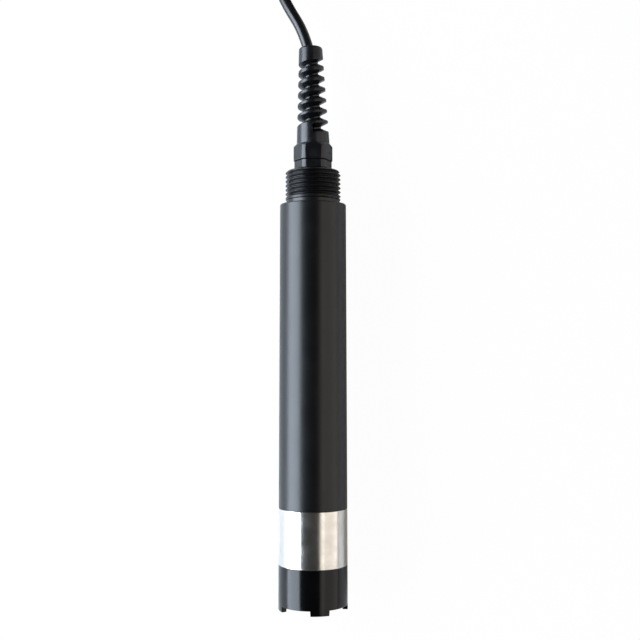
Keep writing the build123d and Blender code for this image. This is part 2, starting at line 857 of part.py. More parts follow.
def main():
    """Build every piece and write it in the laid-down frame."""
    save_laid("housing", housing())
    save_laid("steel_band", steel_band())
    save_laid("sensor_core", sensor_core())
    save_laid("band_seals", band_seals())
    save_laid("core_seals", core_seals())
    save_laid("sensing_cap", sensing_cap())
    save_laid("cap_seal", cap_seal())
    save_laid("sensing_foil", sensing_foil())
    save_laid("optical_window", optical_window())
    save_laid("optics_board", optics_board())
    save_laid("excitation_led", emitter(-led_offset))
    save_laid("reference_led", emitter(led_offset))
    save_laid("photodiode", photodiode())
    save_laid("optics_socket", optics_socket())
    save_laid("temperature_probe", temperature_probe())
    save_laid("flex_strip", flex_strip())
    save_laid("board_sled", board_sled())
    save_laid("main_board", main_board())
    save_laid("flex_socket", on_board(flex_socket_size, flex_socket_middle))
    save_laid("processor_chip", on_board(processor_size, board_length * processor_share))
    save_laid("transceiver_chip", on_board(transceiver_size, board_length * transceiver_share))
    save_laid("power_inductor", on_board(inductor_size, board_length * inductor_share))
    save_laid("capacitors", capacitors())
    save_laid("terminal_block", terminal_block())
    for index, name in enumerate(("supply_wire", "ground_wire", "data_wire_plus", "data_wire_minus")):
        save_laid(name, core_wire(index))
    save_laid("gland_washer", gland_washer())
    save_laid("gland_body", gland_body())
    save_laid("gland_cage", gland_cage())
    save_laid("gland_seal", gland_seal())
    save_laid("gland_nut", gland_nut())
    save_laid("held_cable", held_cable())
    save_laid("guard_ring", guard_ring())
    save_laid("guard_cap", guard_cap())
    save_cable("free_cable", free_route())
    save("cable_hank", cable_hank())
    save("hank_tie", hank_tie())
    save_cable("cable_tail", tail_route())
    save("tail_sleeve", tail_sleeve())
    save("lead_wires", lead_wires())
    save("lead_ferrules", lead_ferrules())


main()
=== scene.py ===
"""Looks of an optical probe for dissolved oxygen, lying on its back on a pale floor.

The probe lies along Y with its cable end at +Y, and its axis is one body radius above the floor.
Angles about the axis are measured from straight up towards +X, so a right-hand helix climbs
towards +Y as its angle grows. Sizes are in millimetres, and MM turns them into metres. Only the
cable's length, the floor and the lamps are given in metres.
"""

import logging
import math
from collections.abc import Sequence
from dataclasses import dataclass
from enum import Enum

import bmesh
import bpy
import numpy as np
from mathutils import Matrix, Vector


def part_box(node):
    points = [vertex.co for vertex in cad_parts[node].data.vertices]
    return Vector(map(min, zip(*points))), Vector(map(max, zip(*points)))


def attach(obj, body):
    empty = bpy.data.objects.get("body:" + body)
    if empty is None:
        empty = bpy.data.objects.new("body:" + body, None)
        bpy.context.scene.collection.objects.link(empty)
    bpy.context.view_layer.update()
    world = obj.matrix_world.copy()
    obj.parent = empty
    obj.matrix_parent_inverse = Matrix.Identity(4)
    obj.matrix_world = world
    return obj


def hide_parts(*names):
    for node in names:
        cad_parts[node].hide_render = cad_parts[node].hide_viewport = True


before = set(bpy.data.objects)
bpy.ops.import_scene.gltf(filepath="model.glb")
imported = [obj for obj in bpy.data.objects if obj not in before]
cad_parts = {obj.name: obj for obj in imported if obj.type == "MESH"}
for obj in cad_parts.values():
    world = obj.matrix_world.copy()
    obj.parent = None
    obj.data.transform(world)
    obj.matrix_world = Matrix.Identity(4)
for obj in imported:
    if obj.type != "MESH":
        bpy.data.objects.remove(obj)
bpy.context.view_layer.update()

LOG = logging.getLogger("probe")
MM = 0.001
TURN = 2 * math.pi

# Points nearer than this many metres are one point, and so are angles alike to so many digits
SAME_POINT = 1e-7
ANGLE_DIGITS = 7

# Reach of the small curve on a corner: none, in a crease, on a broken edge and on a soft one
SQUARE, CREASE, BROKEN, SOFT = 0.0, 0.1, 0.2, 0.3

# Columns round a plain turned piece, round a hexagon and round a wide piece
PLAIN_COLUMNS, HEXAGON_COLUMNS, WIDE_COLUMNS = 160, 180, 200

# Degrees past which an edge stays crisp, on moulded, on turned and on woven pieces
MOULDED_CREASE, TURNED_CREASE, WOVEN_CREASE = 14.0, 18.0, 40.0

Tree = bpy.types.NodeTree
Socket = bpy.types.NodeSocket
Piece = bpy.types.Object
Value = float | tuple[float, ...] | Socket


class Body(Enum):
    """The parts of the probe that move as one."""

    PROBE = "probe"
    GUARD = "guard"


class Slot(Enum):
    """Names of the record's material slots for the new pieces."""

    BODY = "body_black"
    GUARD = "guard_black"
    BAND = "band_steel"
    SEAL = "seal_rubber"
    CAP = "cap_black"
    FOIL = "foil_dark"
    GLAND = "gland_black"
    JACKET = "cable_jacket"
    TIE = "tie_fabric"
    SLEEVE = "sleeve_black"
    LEAD = "lead_grey"
    FERRULE = "ferrule_tin"


def linear(colour: str) -> tuple[float, float, float, float]:
    """Turn an sRGB hex colour into linear light.

    Args:
        colour: six hex digits, red first.

    Returns:
        Red, green, blue and an alpha of 1.
    """
    share = np.array([int(colour[i : i + 2], 16) for i in (0, 2, 4)]) / 255
    light = np.where(share <= 0.04045, share / 12.92, ((share + 0.055) / 1.055) ** 2.4)
    return (*light.tolist(), 1.0)


def add_node(
    tree: Tree, kind: str, inputs: dict[str | int, Value] | None = None, **settings: object
) -> bpy.types.Node:
    """Add a shader node with its settings, and set or link its inputs.

    Args:
        tree: the node tree that gets the node.
        kind: the node's kind, without the prefix that all shader nodes share.
        inputs: value or output socket for each named or numbered input.
        **settings: the node's own properties.

    Returns:
        The new node.
    """
    node = tree.nodes.new("ShaderNode" + kind)
    for name, value in settings.items():
        setattr(node, name, value)
    for name, value in (inputs or {}).items():
        if isinstance(value, Socket):
            tree.links.new(value, node.inputs[name])
        else:
            node.inputs[name].default_value = value
    return node


@dataclass(frozen=True)
class Finish:
    """A surface: its colour, its gloss and the fine relief left by how it was made.

    The relief and the changes of colour and gloss come from one stretched noise, whose grain
    is given in millimetres along the probe and across it.
    """

    name: str
    colour: str
    second_colour: str
    roughness: tuple[float, float]
    grain_along: float = 0.5
    grain_across: float = 0.5
    relief: float = 0.01
    patch: float = 8.0
    metallic: float = 0.0
    ior: float = 1.5
    sheen: float = 0.0
    transmission: float = 0.0

    def material(self) -> bpy.types.Material:
        """Build the material, once for each finish.

        Returns:
            The material of this finish's name.
        """
        found = bpy.data.materials.get(self.name)
        if found:
            return found
        material = bpy.data.materials.new(self.name)
        material.use_nodes = True
        tree = material.node_tree
        tree.nodes.clear()
        place = add_node(tree, "TexCoord").outputs["Object"]
        grain = self.grain(tree, place)
        patches = self.patches(tree, place)
        shader = add_node(tree, "BsdfPrincipled", self.sockets(tree, grain, patches))
        add_node(tree, "OutputMaterial", {"Surface": shader.outputs["BSDF"]})
        return material

    def grain(self, tree: Tree, place: Socket) -> Socket:
        """Fine noise, stretched by the two grain sizes.

        Args:
            tree: the node tree that gets the nodes.
            place: the coordinates that the noise reads.

        Returns:
            The noise's height, from 0 to 1.
        """
        across = 1 / (self.grain_across * MM)
        along = 1 / (self.grain_along * MM)
        stretch = {"Vector": place, "Scale": (across, along, across)}
        vector = add_node(tree, "Mapping", stretch).outputs["Vector"]
        noise = {"Vector": vector, "Scale": 1.0, "Detail": 4.0, "Roughness": 0.55}
        return add_node(tree, "TexNoise", noise).outputs["Fac"]

    def patches(self, tree: Tree, place: Socket) -> Socket:
        """Large soft patches, as handling and wiping leave them.

        Args:
            tree: the node tree that gets the nodes.
            place: the coordinates that the patches read.

        Returns:
            The patches' strength, from 0 to 1.
        """
        noise = {"Vector": place, "Scale": 1 / (self.patch * MM), "Detail": 3.0, "Roughness": 0.5}
        value = add_node(tree, "TexNoise", noise).outputs["Fac"]
        limits = {"Value": value, "From Min": 0.3, "From Max": 0.7}
        return add_node(tree, "MapRange", limits).outputs["Result"]

    def sockets(self, tree: Tree, grain: Socket, patches: Socket) -> dict[str | int, Value]:
        """Inputs of the surface shader.

        Args:
            tree: the node tree that gets the nodes.
            grain: the fine noise.
            patches: the large soft patches.

        Returns:
            Value or socket for each input of the shader.
        """
        colours = {0: patches, 6: linear(self.colour), 7: linear(self.second_colour)}
        colour = add_node(tree, "Mix", colours, data_type="RGBA").outputs[2]
        strength = add_node(tree, "Math", {0: grain, 1: patches}, operation="MULTIPLY").outputs[0]
        low, high = self.roughness
        gloss = {"Value": strength, "From Min": 0.1, "From Max": 0.6, "To Min": low, "To Max": high}
        roughness = add_node(tree, "MapRange", gloss).outputs["Result"]
        bump = {"Height": grain, "Distance": self.relief * MM, "Strength": 1.0}
        normal = add_node(tree, "Bump", bump).outputs["Normal"]
        return {
            "Base Color": colour,
            "Roughness": roughness,
            "Normal": normal,
            "Metallic": self.metallic,
            "IOR": self.ior,
            "Sheen Weight": self.sheen,
            "Transmission Weight": self.transmission,
        }


@dataclass(frozen=True)
class TurnedSteel(Finish):
    """Stainless steel from the lathe: fine rings round it, and a few small dark pits."""

    pit_spacing: float = 9.0
    pit_size: float = 0.35
    pit_colour: str = "4A4744"

    def sockets(self, tree: Tree, grain: Socket, patches: Socket) -> dict[str | int, Value]:
        """Add the pits to the plain metal's colour: dark where a cell's middle is near.

        Args:
            tree: the node tree that gets the nodes.
            grain: the fine noise.
            patches: the large soft patches.

        Returns:
            Value or socket for each input of the shader.
        """
        sockets = super().sockets(tree, grain, patches)
        place = add_node(tree, "TexCoord").outputs["Object"]
        cells = {"Vector": place, "Scale": 1 / (self.pit_spacing * MM), "Randomness": 1.0}
        distance = add_node(tree, "TexVoronoi", cells).outputs["Distance"]
        edge = self.pit_size / self.pit_spacing
        limits = {"Value": distance, "From Min": 0.5 * edge, "From Max": edge, "To Min": 1.0, "To Max": 0.0}
        pits = add_node(tree, "MapRange", limits).outputs["Result"]
        colours = {0: pits, 6: sockets["Base Color"], 7: linear(self.pit_colour)}
        sockets["Base Color"] = add_node(tree, "Mix", colours, data_type="RGBA").outputs[2]
        return sockets


@dataclass(frozen=True)
class WovenStrap(Finish):
    """Hook and loop strap: a plain weave under a short nap."""

    thread: float = 0.8
    bands_in_unit: float = 3.2

    def grain(self, tree: Tree, place: Socket) -> Socket:
        """Two crossed waves, one thread wide each, roughened by the nap.

        A wave of scale 1 has about 3.2 bands in one unit, so the scale is 1 / thread / bands.

        Args:
            tree: the node tree that gets the nodes.
            place: the coordinates that the weave reads.

        Returns:
            The weave's height.
        """
        nap = super().grain(tree, place)
        warp = {"Vector": place, "Scale": 1 / (self.thread * MM) / self.bands_in_unit, "Distortion": 0.4}
        first, second = (
            add_node(tree, "TexWave", warp, bands_direction=way).outputs["Fac"] for way in ("Y", "DIAGONAL")
        )
        weave = add_node(tree, "Math", {0: first, 1: second}, operation="MULTIPLY").outputs[0]
        return add_node(tree, "Math", {0: weave, 1: nap}, operation="ADD").outputs[0]


# Acetal rod, fine turned: near black, with a satin that smears a lamp into a soft stripe.
# The tool's rings are about 0.1 mm apart, and are drawn 0.7 mm apart to show at all.
TURNED_ACETAL = Finish(
    "turned_acetal", "040405", "060607", (0.30, 0.37),
    grain_along=0.7, grain_across=9.0, relief=0.0022, patch=22.0, ior=1.46,
)
# The same acetal, moulded and wiped with grease: glossier, with a narrower stripe.
GREASED_ACETAL = Finish(
    "greased_acetal", "030304", "050506", (0.15, 0.21),
    grain_along=0.8, grain_across=6.0, relief=0.002, patch=14.0, ior=1.37,
)
# Glass-filled nylon from a spark-eroded mould: a dull pebble of about 0.4 mm.
MOULDED_NYLON = Finish(
    "moulded_nylon", "06070A", "0A0B0E", (0.28, 0.38),
    grain_along=0.45, grain_across=0.45, relief=0.006, patch=5.0,
)
# Stainless steel, fine turned: bright, with lamps drawn out into soft lengthwise bars.
TURNED_STAINLESS = TurnedSteel(
    "turned_stainless", "E2DFDA", "D6D3CE", (0.17, 0.25),
    grain_along=0.6, grain_across=5.0, relief=0.0012, patch=6.0, metallic=1.0,
)
# Polyurethane jacket, extruded: satin with a faint lengthwise unevenness.
EXTRUDED_JACKET = Finish(
    "extruded_polyurethane", "0A0B0C", "0E0F10", (0.28, 0.36), grain_along=1.2, grain_across=0.8, relief=0.006
)
# Nitrile rubber, moulded: dull and nearly black.
NITRILE = Finish("nitrile_rubber", "101112", "161718", (0.45, 0.6), relief=0.004)
# Sensing foil, coated: a matt dark violet.
FOIL = Finish("sensing_foil", "2A1B26", "241720", (0.5, 0.65), relief=0.003, patch=3.0)
# Crown glass, polished: clear, with a hard gloss.
CLEAR_WINDOW = Finish(
    "clear_window", "F4F8FA", "EEF3F6", (0.02, 0.05), relief=0.0002, ior=1.52, transmission=1.0
)
# Solder mask, printed over copper: green satin with a faint grain along the board.
SOLDER_MASK = Finish("solder_mask", "1E5A33", "1A4F2D", (0.25, 0.4), grain_along=1.5, grain_across=0.6)
# Clear epoxy, cast round a lamp's chip: pale and glossy.
CAST_EPOXY = Finish("cast_epoxy", "E8E4C8", "DDD8B8", (0.1, 0.2), relief=0.002)
# Filled epoxy, moulded round a chip: charcoal and dull.
MOULDED_EPOXY = Finish("moulded_epoxy", "1B1B1C", "232324", (0.45, 0.6), relief=0.004)
# Nylon, moulded for sockets and terminals: a plain satin.
IVORY_NYLON = Finish("ivory_nylon", "DDD8C8", "D2CCBA", (0.35, 0.5), relief=0.004)
GREEN_NYLON = Finish("green_nylon", "2F8A4A", "2A7D43", (0.35, 0.5), relief=0.004)
# ABS, moulded: light grey with a fine dull grain.
GREY_ABS = Finish("grey_abs", "8B8D8F", "808284", (0.4, 0.55), relief=0.006)
# Polyimide film, cast: smooth glossy amber.
AMBER_FILM = Finish("amber_polyimide", "B5701E", "A3611A", (0.2, 0.3), relief=0.002)
# Aluminium and stainless steel, deep drawn: bright under a soft haze.
DRAWN_ALUMINIUM = Finish("drawn_aluminium", "D6D7D9", "C8C9CC", (0.25, 0.35), relief=0.001, metallic=1.0)
DRAWN_STAINLESS = Finish("drawn_stainless", "C6C5C3", "BAB8B5", (0.2, 0.3), relief=0.001, metallic=1.0)
# PVC insulation, extruded: satin, in one colour for each wire.
RED_PVC = Finish("red_pvc", "A92318", "9C1F15", (0.3, 0.4), relief=0.003)
BLACK_PVC = Finish("black_pvc", "1A1A1B", "222223", (0.3, 0.4), relief=0.003)
GREEN_PVC = Finish("green_pvc", "2E7D43", "28703B", (0.3, 0.4), relief=0.003)
WHITE_PVC = Finish("white_pvc", "DADAD6", "CFCFCA", (0.3, 0.4), relief=0.003)
# Polyolefin sleeve, shrunk on: dull black.
SHRUNK_SLEEVE = Finish("shrunk_sleeve", "141415", "1B1B1C", (0.35, 0.5), relief=0.004)
# Tinned copper, crimped: a pale grey shine.
TINNED_COPPER = Finish("tinned_copper", "CFCFD0", "C2C2C4", (0.25, 0.38), relief=0.001, metallic=1.0)
# Nylon strap, woven with threads 0.8 mm wide: matt charcoal under a short nap.
STRAP = WovenStrap(
    "hook_and_loop_strap", "16171A", "1E1F22", (0.8, 0.95),
    grain_along=0.25, grain_across=0.25, relief=0.12, sheen=0.25,
)


def smooth_step(value: np.ndarray) -> np.ndarray:
    """Ease from 0 to 1 as the value does, flat at both ends: 3v^2 - 2v^3."""
    share = np.clip(value, 0.0, 1.0)
    return share * share * (3 - 2 * share)


def soft_min(first: np.ndarray, second: np.ndarray, ease: float) -> np.ndarray:
    """The smaller of two heights, eased where they cross: min(a, b) - e ln(1 + exp(-|a - b| / e))."""
    return np.minimum(first, second) - ease * np.log1p(np.exp(-np.abs(first - second) / ease))


def eased_outline(corners: Sequence[tuple[float, float, float]], steps: int = 5) -> np.ndarray:
    """Closed outline whose corners are eased by short curves.

    Each corner C with reach q becomes the quadratic curve (1-t)^2 A + 2t(1-t) C + t^2 B, where
    A and B are the points a distance q before and after the corner.

    Args:
        corners: (radius, place along the axis, reach) in millimetres, in order.
        steps: points on each eased corner.

    Returns:
        Array of (radius, place) rows in metres.
    """
    table = np.array(corners, float) * MM
    spots, reach = table[:, :2], table[:, 2:]
    back = np.roll(spots, 1, axis=0) - spots
    ahead = np.roll(spots, -1, axis=0) - spots
    before = spots + back / np.linalg.norm(back, axis=1, keepdims=True) * reach
    after = spots + ahead / np.linalg.norm(ahead, axis=1, keepdims=True) * reach
    t = np.linspace(0.0, 1.0, steps)[None, :, None]
    curve = (1 - t) ** 2 * before[:, None] + 2 * t * (1 - t) * spots[:, None] + t**2 * after[:, None]
    points = curve.reshape(-1, 2)
    moved = np.linalg.norm(points - np.roll(points, 1, axis=0), axis=1)
    return points[moved > SAME_POINT]


def columns(count: int, *extra: float) -> np.ndarray:
    """Angles round the axis: evenly spaced ones, with extra ones in degrees among them."""
    even = np.linspace(0.0, TURN, count, endpoint=False)
    return np.unique(np.concatenate([even, np.radians(np.array(extra, float)) % TURN]).round(ANGLE_DIGITS))


def grid_faces(rows: int, count: int, close_rows: bool) -> np.ndarray:
    """Corner numbers of the four-sided faces of a grid of points, whose columns run round.

    Point (r, c) has number r * count + c, and a face has (r, c), (r, c+1), (r+1, c+1), (r+1, c).

    Args:
        rows: number of rows.
        count: number of columns.
        close_rows: whether the last row joins the first one.

    Returns:
        Array of faces by four.
    """
    row = np.arange(rows if close_rows else rows - 1)[:, None]
    column = np.arange(count)[None, :]
    next_row, next_column = (row + 1) % rows, (column + 1) % count
    corners = [row * count + column, row * count + next_column]
    corners += [next_row * count + next_column, next_row * count + column]
    return np.stack(np.broadcast_arrays(*corners), axis=-1).reshape(-1, 4)


def close_poles(mesh: bpy.types.Mesh) -> None:
    """Merge the points that fall together at a pole, and drop the faces that vanish there.

    Args:
        mesh: the mesh, changed in place.
    """
    shape = bmesh.new()
    shape.from_mesh(mesh)
    bmesh.ops.remove_doubles(shape, verts=shape.verts, dist=SAME_POINT)
    shape.to_mesh(mesh)
    shape.free()
    mesh.validate()


def surface(
    name: str,
    grids: Sequence[np.ndarray],
    finish: Finish,
    close_rows: bool = True,
    crease: float = TURNED_CREASE,
) -> Piece:
    """Make one piece of closed grids whose columns run round.

    The faces are turned outwards by the sign of the enclosed volume, the sum of
    a . (b x c) / 6 over the triangles.

    Args:
        name: name of the piece.
        grids: arrays of rows by columns by three, one for each shell.
        finish: the surface's finish.
        close_rows: whether the last row joins the first one.
        crease: angle in degrees past which an edge stays crisp.

    Returns:
        The new object, at the origin.
    """
    points, faces, start = [], [], 0
    for grid in grids:
        corners = grid_faces(grid.shape[0], grid.shape[1], close_rows)
        flat = grid.reshape(-1, 3)
        a, b, c, d = (flat[corners[:, i]] for i in range(4))
        volume = (np.cross(a, b) * c).sum() + (np.cross(a, c) * d).sum()
        faces.append((corners if volume > 0 else corners[:, ::-1]) + start)
        points.append(flat)
        start += len(flat)
    mesh = bpy.data.meshes.new(name)
    mesh.from_pydata(np.concatenate(points).tolist(), [], np.concatenate(faces).tolist())
    close_poles(mesh)
    mesh.shade_smooth()
    mesh.set_sharp_from_angle(angle=math.radians(crease))
    piece = bpy.data.objects.new(name, mesh)
    bpy.context.scene.collection.objects.link(piece)
    mesh.materials.append(finish.material())
    return piece


def install(piece: Piece, body: Body, slot: Slot, *nodes: str) -> None:
    """Let a piece ride on its body and stand for its nodes.

    Args:
        piece: the finished piece.
        body: the body that it moves with.
        slot: the record's material slot; not used.
        *nodes: the plain nodes that it stands for.
    """
    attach(piece, body.value)
    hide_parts(*nodes)
    LOG.info("%s rides on %s, for %s", piece.name, body.value, ", ".join(nodes))


@dataclass(frozen=True)
class Layout:
    """Seams of the probe along its axis, in millimetres, read from the frame."""

    axis_height: float
    radius: float
    feet: float
    band: float
    tube: float
    head: float
    washer: float
    gland: float
    nut: float

    @classmethod
    def from_frame(cls) -> "Layout":
        """Read every seam from the boxes of the plain nodes.

        Returns:
            The layout of this probe.
        """
        low = {node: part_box(node)[0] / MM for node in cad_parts}
        high = {node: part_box(node)[1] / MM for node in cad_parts}
        return cls(
            axis_height=(high["steel_band"].z + low["steel_band"].z) / 2,
            radius=(high["steel_band"].x - low["steel_band"].x) / 2,
            feet=low["guard_cap"].y,
            band=low["steel_band"].y,
            tube=low["housing"].y,
            head=high["housing"].y,
            washer=low["gland_washer"].y,
            gland=high["gland_washer"].y,
            nut=low["gland_nut"].y,
        )

    def about_axis(self, radius: np.ndarray, along: np.ndarray, angle: np.ndarray) -> np.ndarray:
        """Points of a surface about the probe's axis: (r sin a, y, height + r cos a).

        Args:
            radius: distances from the axis, rows by columns.
            along: places along the axis, rows by columns.
            angle: angles of the columns.

        Returns:
            Array of rows by columns by three, in metres.
        """
        radius, along, angle = np.broadcast_arrays(radius, along, angle[None, :])
        height = self.axis_height * MM
        return np.stack([radius * np.sin(angle), along, height + radius * np.cos(angle)], axis=-1)

    def spun(self, outline: np.ndarray, angle: np.ndarray) -> np.ndarray:
        """Surface that an outline's (radius, place) rows sweep about the axis."""
        return self.about_axis(outline[:, :1], outline[:, 1:], angle)

    def turned(self, name: str, outline: np.ndarray, finish: Finish, count: int = PLAIN_COLUMNS) -> Piece:
        """A piece turned about the probe's axis from a closed outline."""
        return surface(name, [self.spun(outline, columns(count))], finish)


@dataclass
class Housing:
    """Turned tube with a rounded shoulder and a pipe thread at its cable end.

    thread_crest is half the flat on a crest or root, as a share of the pitch, and thread_ease
    is the rounding beside it, as a share of the depth.
    """

    layout: Layout
    tube_length: float = 178.6
    wall: float = 3.0
    edge: float = 0.35
    shoulder_round: float = 0.8
    shoulder_steps: int = 7
    neck_radius: float = 16.2
    neck_length: float = 2.4
    thread_radius: float = 16.8
    thread_pitch: float = 2.6
    thread_depth: float = 1.5
    thread_start: float = 1.75
    thread_crest: float = 0.04
    thread_ease: float = 0.04
    run_out_ease: float = 0.08
    chamfer: float = 1.3
    gland_hole_radius: float = 7.95
    throat_radius: float = 11.0
    throat_wall: float = 11.4
    end_wall: float = 7.0
    end_round: float = 0.4
    rows_per_pitch: int = 26

    def shoulder(self) -> float:
        """Place of the shoulder along the axis."""
        return self.layout.tube + self.tube_length

    def build(self) -> Piece:
        """Build the tube: its outside up to the neck, the thread, and its bore from the thread's end.

        Returns:
            The housing.
        """
        tube, head, outside = self.layout.tube, self.layout.head, self.layout.radius
        shoulder, inside = self.shoulder(), self.layout.radius - self.wall
        throat, end = head - self.throat_wall, self.shoulder() - self.end_wall
        below = eased_outline(
            [
                (inside, tube, BROKEN),
                (outside, tube, self.edge),
                (outside, shoulder, self.shoulder_round),
                (self.neck_radius, shoulder, SOFT),
                (self.neck_radius, shoulder + 0.5 * self.neck_length, SQUARE),
            ],
            self.shoulder_steps,
        )
        above = eased_outline(
            [
                (self.thread_radius - self.chamfer, head, CREASE),
                (self.gland_hole_radius, head, SOFT),
                (self.gland_hole_radius, throat, BROKEN),
                (self.throat_radius, throat, BROKEN),
                (self.throat_radius, end, BROKEN),
                (inside, end, self.end_round),
            ]
        )
        angle = columns(WIDE_COLUMNS)
        start = shoulder + self.neck_length
        count = int((head - start) / self.thread_pitch * self.rows_per_pitch)
        along = np.linspace(start, head, count) * MM
        thread = self.layout.about_axis(self.threaded_radius(along, angle), along[:, None], angle)
        parts = [self.layout.spun(below, angle), thread, self.layout.spun(above, angle)]
        return surface("housing_tube", [np.concatenate(parts)], TURNED_ACETAL)

    def valley(self, along: np.ndarray, angle: np.ndarray) -> np.ndarray:
        """How deep the right-hand thread is cut at each point, from 0 on a crest to 1 in a root.

        The phase (y - start) / pitch - angle / turn is whole on a crest. The depth grows evenly
        down a flank, between a narrow crest and a narrow root that are both slightly rounded.

        Args:
            along: places of the rows, in metres.
            angle: angles of the columns.

        Returns:
            Array of rows by columns.
        """
        start = (self.shoulder() + self.thread_start) * MM
        phase = (along[:, None] - start) / (self.thread_pitch * MM) - angle[None, :] / TURN
        away = np.abs(phase - np.round(phase))
        flank = (away - self.thread_crest) / (0.5 - 2 * self.thread_crest)
        rooted = soft_min(flank, np.ones_like(flank), self.thread_ease)
        return 1 - soft_min(1 - rooted, np.ones_like(flank), self.thread_ease)

    def threaded_radius(self, along: np.ndarray, angle: np.ndarray) -> np.ndarray:
        """Radius of the thread: its crest less the valley, which fades in from the neck.

        It stays under a cone that rises from the neck and under the chamfer's cone at the end.

        Args:
            along: places of the rows, in metres.
            angle: angles of the columns.

        Returns:
            Array of rows by columns.
        """
        shoulder = self.shoulder()
        fade = smooth_step((along / MM - shoulder - self.neck_length) / self.thread_pitch)
        depth = self.thread_depth * fade[:, None] * self.valley(along, angle)
        crest = (self.thread_radius - depth) * MM
        risen = np.maximum(along - (shoulder + self.neck_length) * MM, 0.0)
        run_out = (self.neck_radius * MM + risen)[:, None]
        cone = ((self.thread_radius - self.chamfer + self.layout.head) * MM - along)[:, None]
        return np.minimum(soft_min(crest, run_out, self.run_out_ease * MM), cone)

    def install(self) -> None:
        """Put the housing in place of its plain node."""
        install(self.build(), Body.PROBE, Slot.BODY, "housing")


@dataclass
class SteelBand:
    """Flush stainless sleeve between the housing and the guard."""

    layout: Layout
    wall: float = 1.5

    def install(self) -> None:
        """Build the sleeve and put it in place of its plain node."""
        low, high, outside = self.layout.band, self.layout.tube, self.layout.radius
        inside = outside - self.wall
        outline = eased_outline(
            [(inside, low, CREASE), (outside, low, SOFT), (outside, high, SOFT), (inside, high, CREASE)]
        )
        piece = self.layout.turned("band_sleeve", outline, TURNED_STAINLESS, WIDE_COLUMNS)
        install(piece, Body.PROBE, Slot.BAND, "steel_band")


@dataclass
class GuardCap:
    """Screwed guard with four feet round its open end."""

    layout: Layout
    wall: float = 3.0
    thread_wall: float = 3.6
    thread_length: float = 11.0
    lip: float = 1.6
    groove_length: float = 2.4
    groove_radius: float = 18.5
    edge: float = 0.45
    mouth_round: float = 0.25
    foot_height: float = 2.8
    foot_count: int = 4
    foot_angle: float = 32.0
    front_foot_angle: float = 11.5
    side_width: float = 0.25
    side_columns: int = 7

    def foot_share(self, angle: np.ndarray) -> np.ndarray:
        """Share of a foot's height at each angle: 1 on a foot, 0 between feet, with steep sides.

        Args:
            angle: angles of the columns.

        Returns:
            The share at each angle.
        """
        step = TURN / self.foot_count
        offset = (angle - math.radians(self.front_foot_angle) + step / 2) % step - step / 2
        inside = math.radians(self.foot_angle) / 2 - np.abs(offset)
        return smooth_step(0.5 + inside * self.layout.radius / self.side_width)

    def side_angles(self) -> np.ndarray:
        """Extra columns across the steep sides of the feet.

        Returns:
            Angles in degrees.
        """
        middles = np.arange(self.foot_count) * 360 / self.foot_count + self.front_foot_angle
        sides = middles[:, None] + np.array([-1, 1]) * self.foot_angle / 2
        width = math.degrees(self.side_width / self.layout.radius)
        across = np.linspace(-0.5, 0.5, self.side_columns) * width
        return (sides[..., None] + across).ravel()

    def install(self) -> None:
        """Build the guard and put it in place of its plain node.

        Each row near the open end is lifted by (1 - a foot's share) * its height between the
        feet, and the lift fades out over one more height.
        """
        outside, feet, band = self.layout.radius, self.layout.feet, self.layout.band
        recess, bore = outside - self.wall, outside - self.thread_wall
        groove, plain, screw = band - self.lip, feet + 2 * self.foot_height, band - self.thread_length
        outline = eased_outline(
            [
                (recess, feet, self.mouth_round),
                (outside, feet, self.edge),
                (outside, plain, SQUARE),
                (outside, band, self.edge),
                (bore, band, BROKEN),
                (bore, groove, CREASE),
                (self.groove_radius, groove, CREASE),
                (self.groove_radius, groove - self.groove_length, CREASE),
                (bore, groove - self.groove_length, CREASE),
                (bore, screw, BROKEN),
                (recess, screw - recess + bore, BROKEN),
                (recess, plain, SQUARE),
            ]
        )
        angle = columns(PLAIN_COLUMNS, *self.side_angles())
        height = self.foot_height * MM
        low = smooth_step((feet * MM + 2 * height - outline[:, 1]) / height)
        lift = low[:, None] * (1 - self.foot_share(angle))[None, :] * height
        grid = self.layout.about_axis(outline[:, :1], outline[:, 1:] + lift, angle)
        install(surface("guard_shell", [grid], GREASED_ACETAL), Body.GUARD, Slot.GUARD, "guard_cap")


@dataclass
class SensingEnd:
    """Sensing cap and foil, seen inside the guard."""

    layout: Layout
    nose_projection: float = 11.8
    boss_radius: float = 10.8
    boss_length: float = 5.8
    cap_radius: float = 14.2
    cap_face: float = 2.1
    cap_round: float = 0.9
    cap_edge: float = 0.15
    aperture: float = 6.6
    foil_radius: float = 8.6
    foil_thickness: float = 0.7
    slip: float = 0.05

    def install(self) -> None:
        """Build the cap and its foil in place of their plain nodes."""
        rim = self.layout.band - self.nose_projection - self.slip
        face = self.layout.band - self.nose_projection - self.boss_length - self.slip - self.cap_face
        ledge, back = face + self.cap_face, face + self.foil_thickness
        inner, seat = self.boss_radius + self.slip, self.foil_radius + self.slip
        cap = eased_outline(
            [
                (seat, face, self.cap_edge),
                (self.cap_radius, face, self.cap_round),
                (self.cap_radius, rim, BROKEN),
                (inner, rim, CREASE),
                (inner, ledge, CREASE),
                (self.aperture, ledge, CREASE),
                (self.aperture, back, CREASE),
                (seat, back, SQUARE),
            ]
        )
        cup = self.layout.turned("sensing_cup", cap, MOULDED_NYLON)
        install(cup, Body.PROBE, Slot.CAP, "sensing_cap")
        radius = self.foil_radius
        foil = eased_outline(
            [(0.0, face, SQUARE), (radius, face, CREASE), (radius, back, CREASE), (0.0, back, SQUARE)]
        )
        install(self.layout.turned("foil_disc", foil, FOIL), Body.PROBE, Slot.FOIL, "sensing_foil")


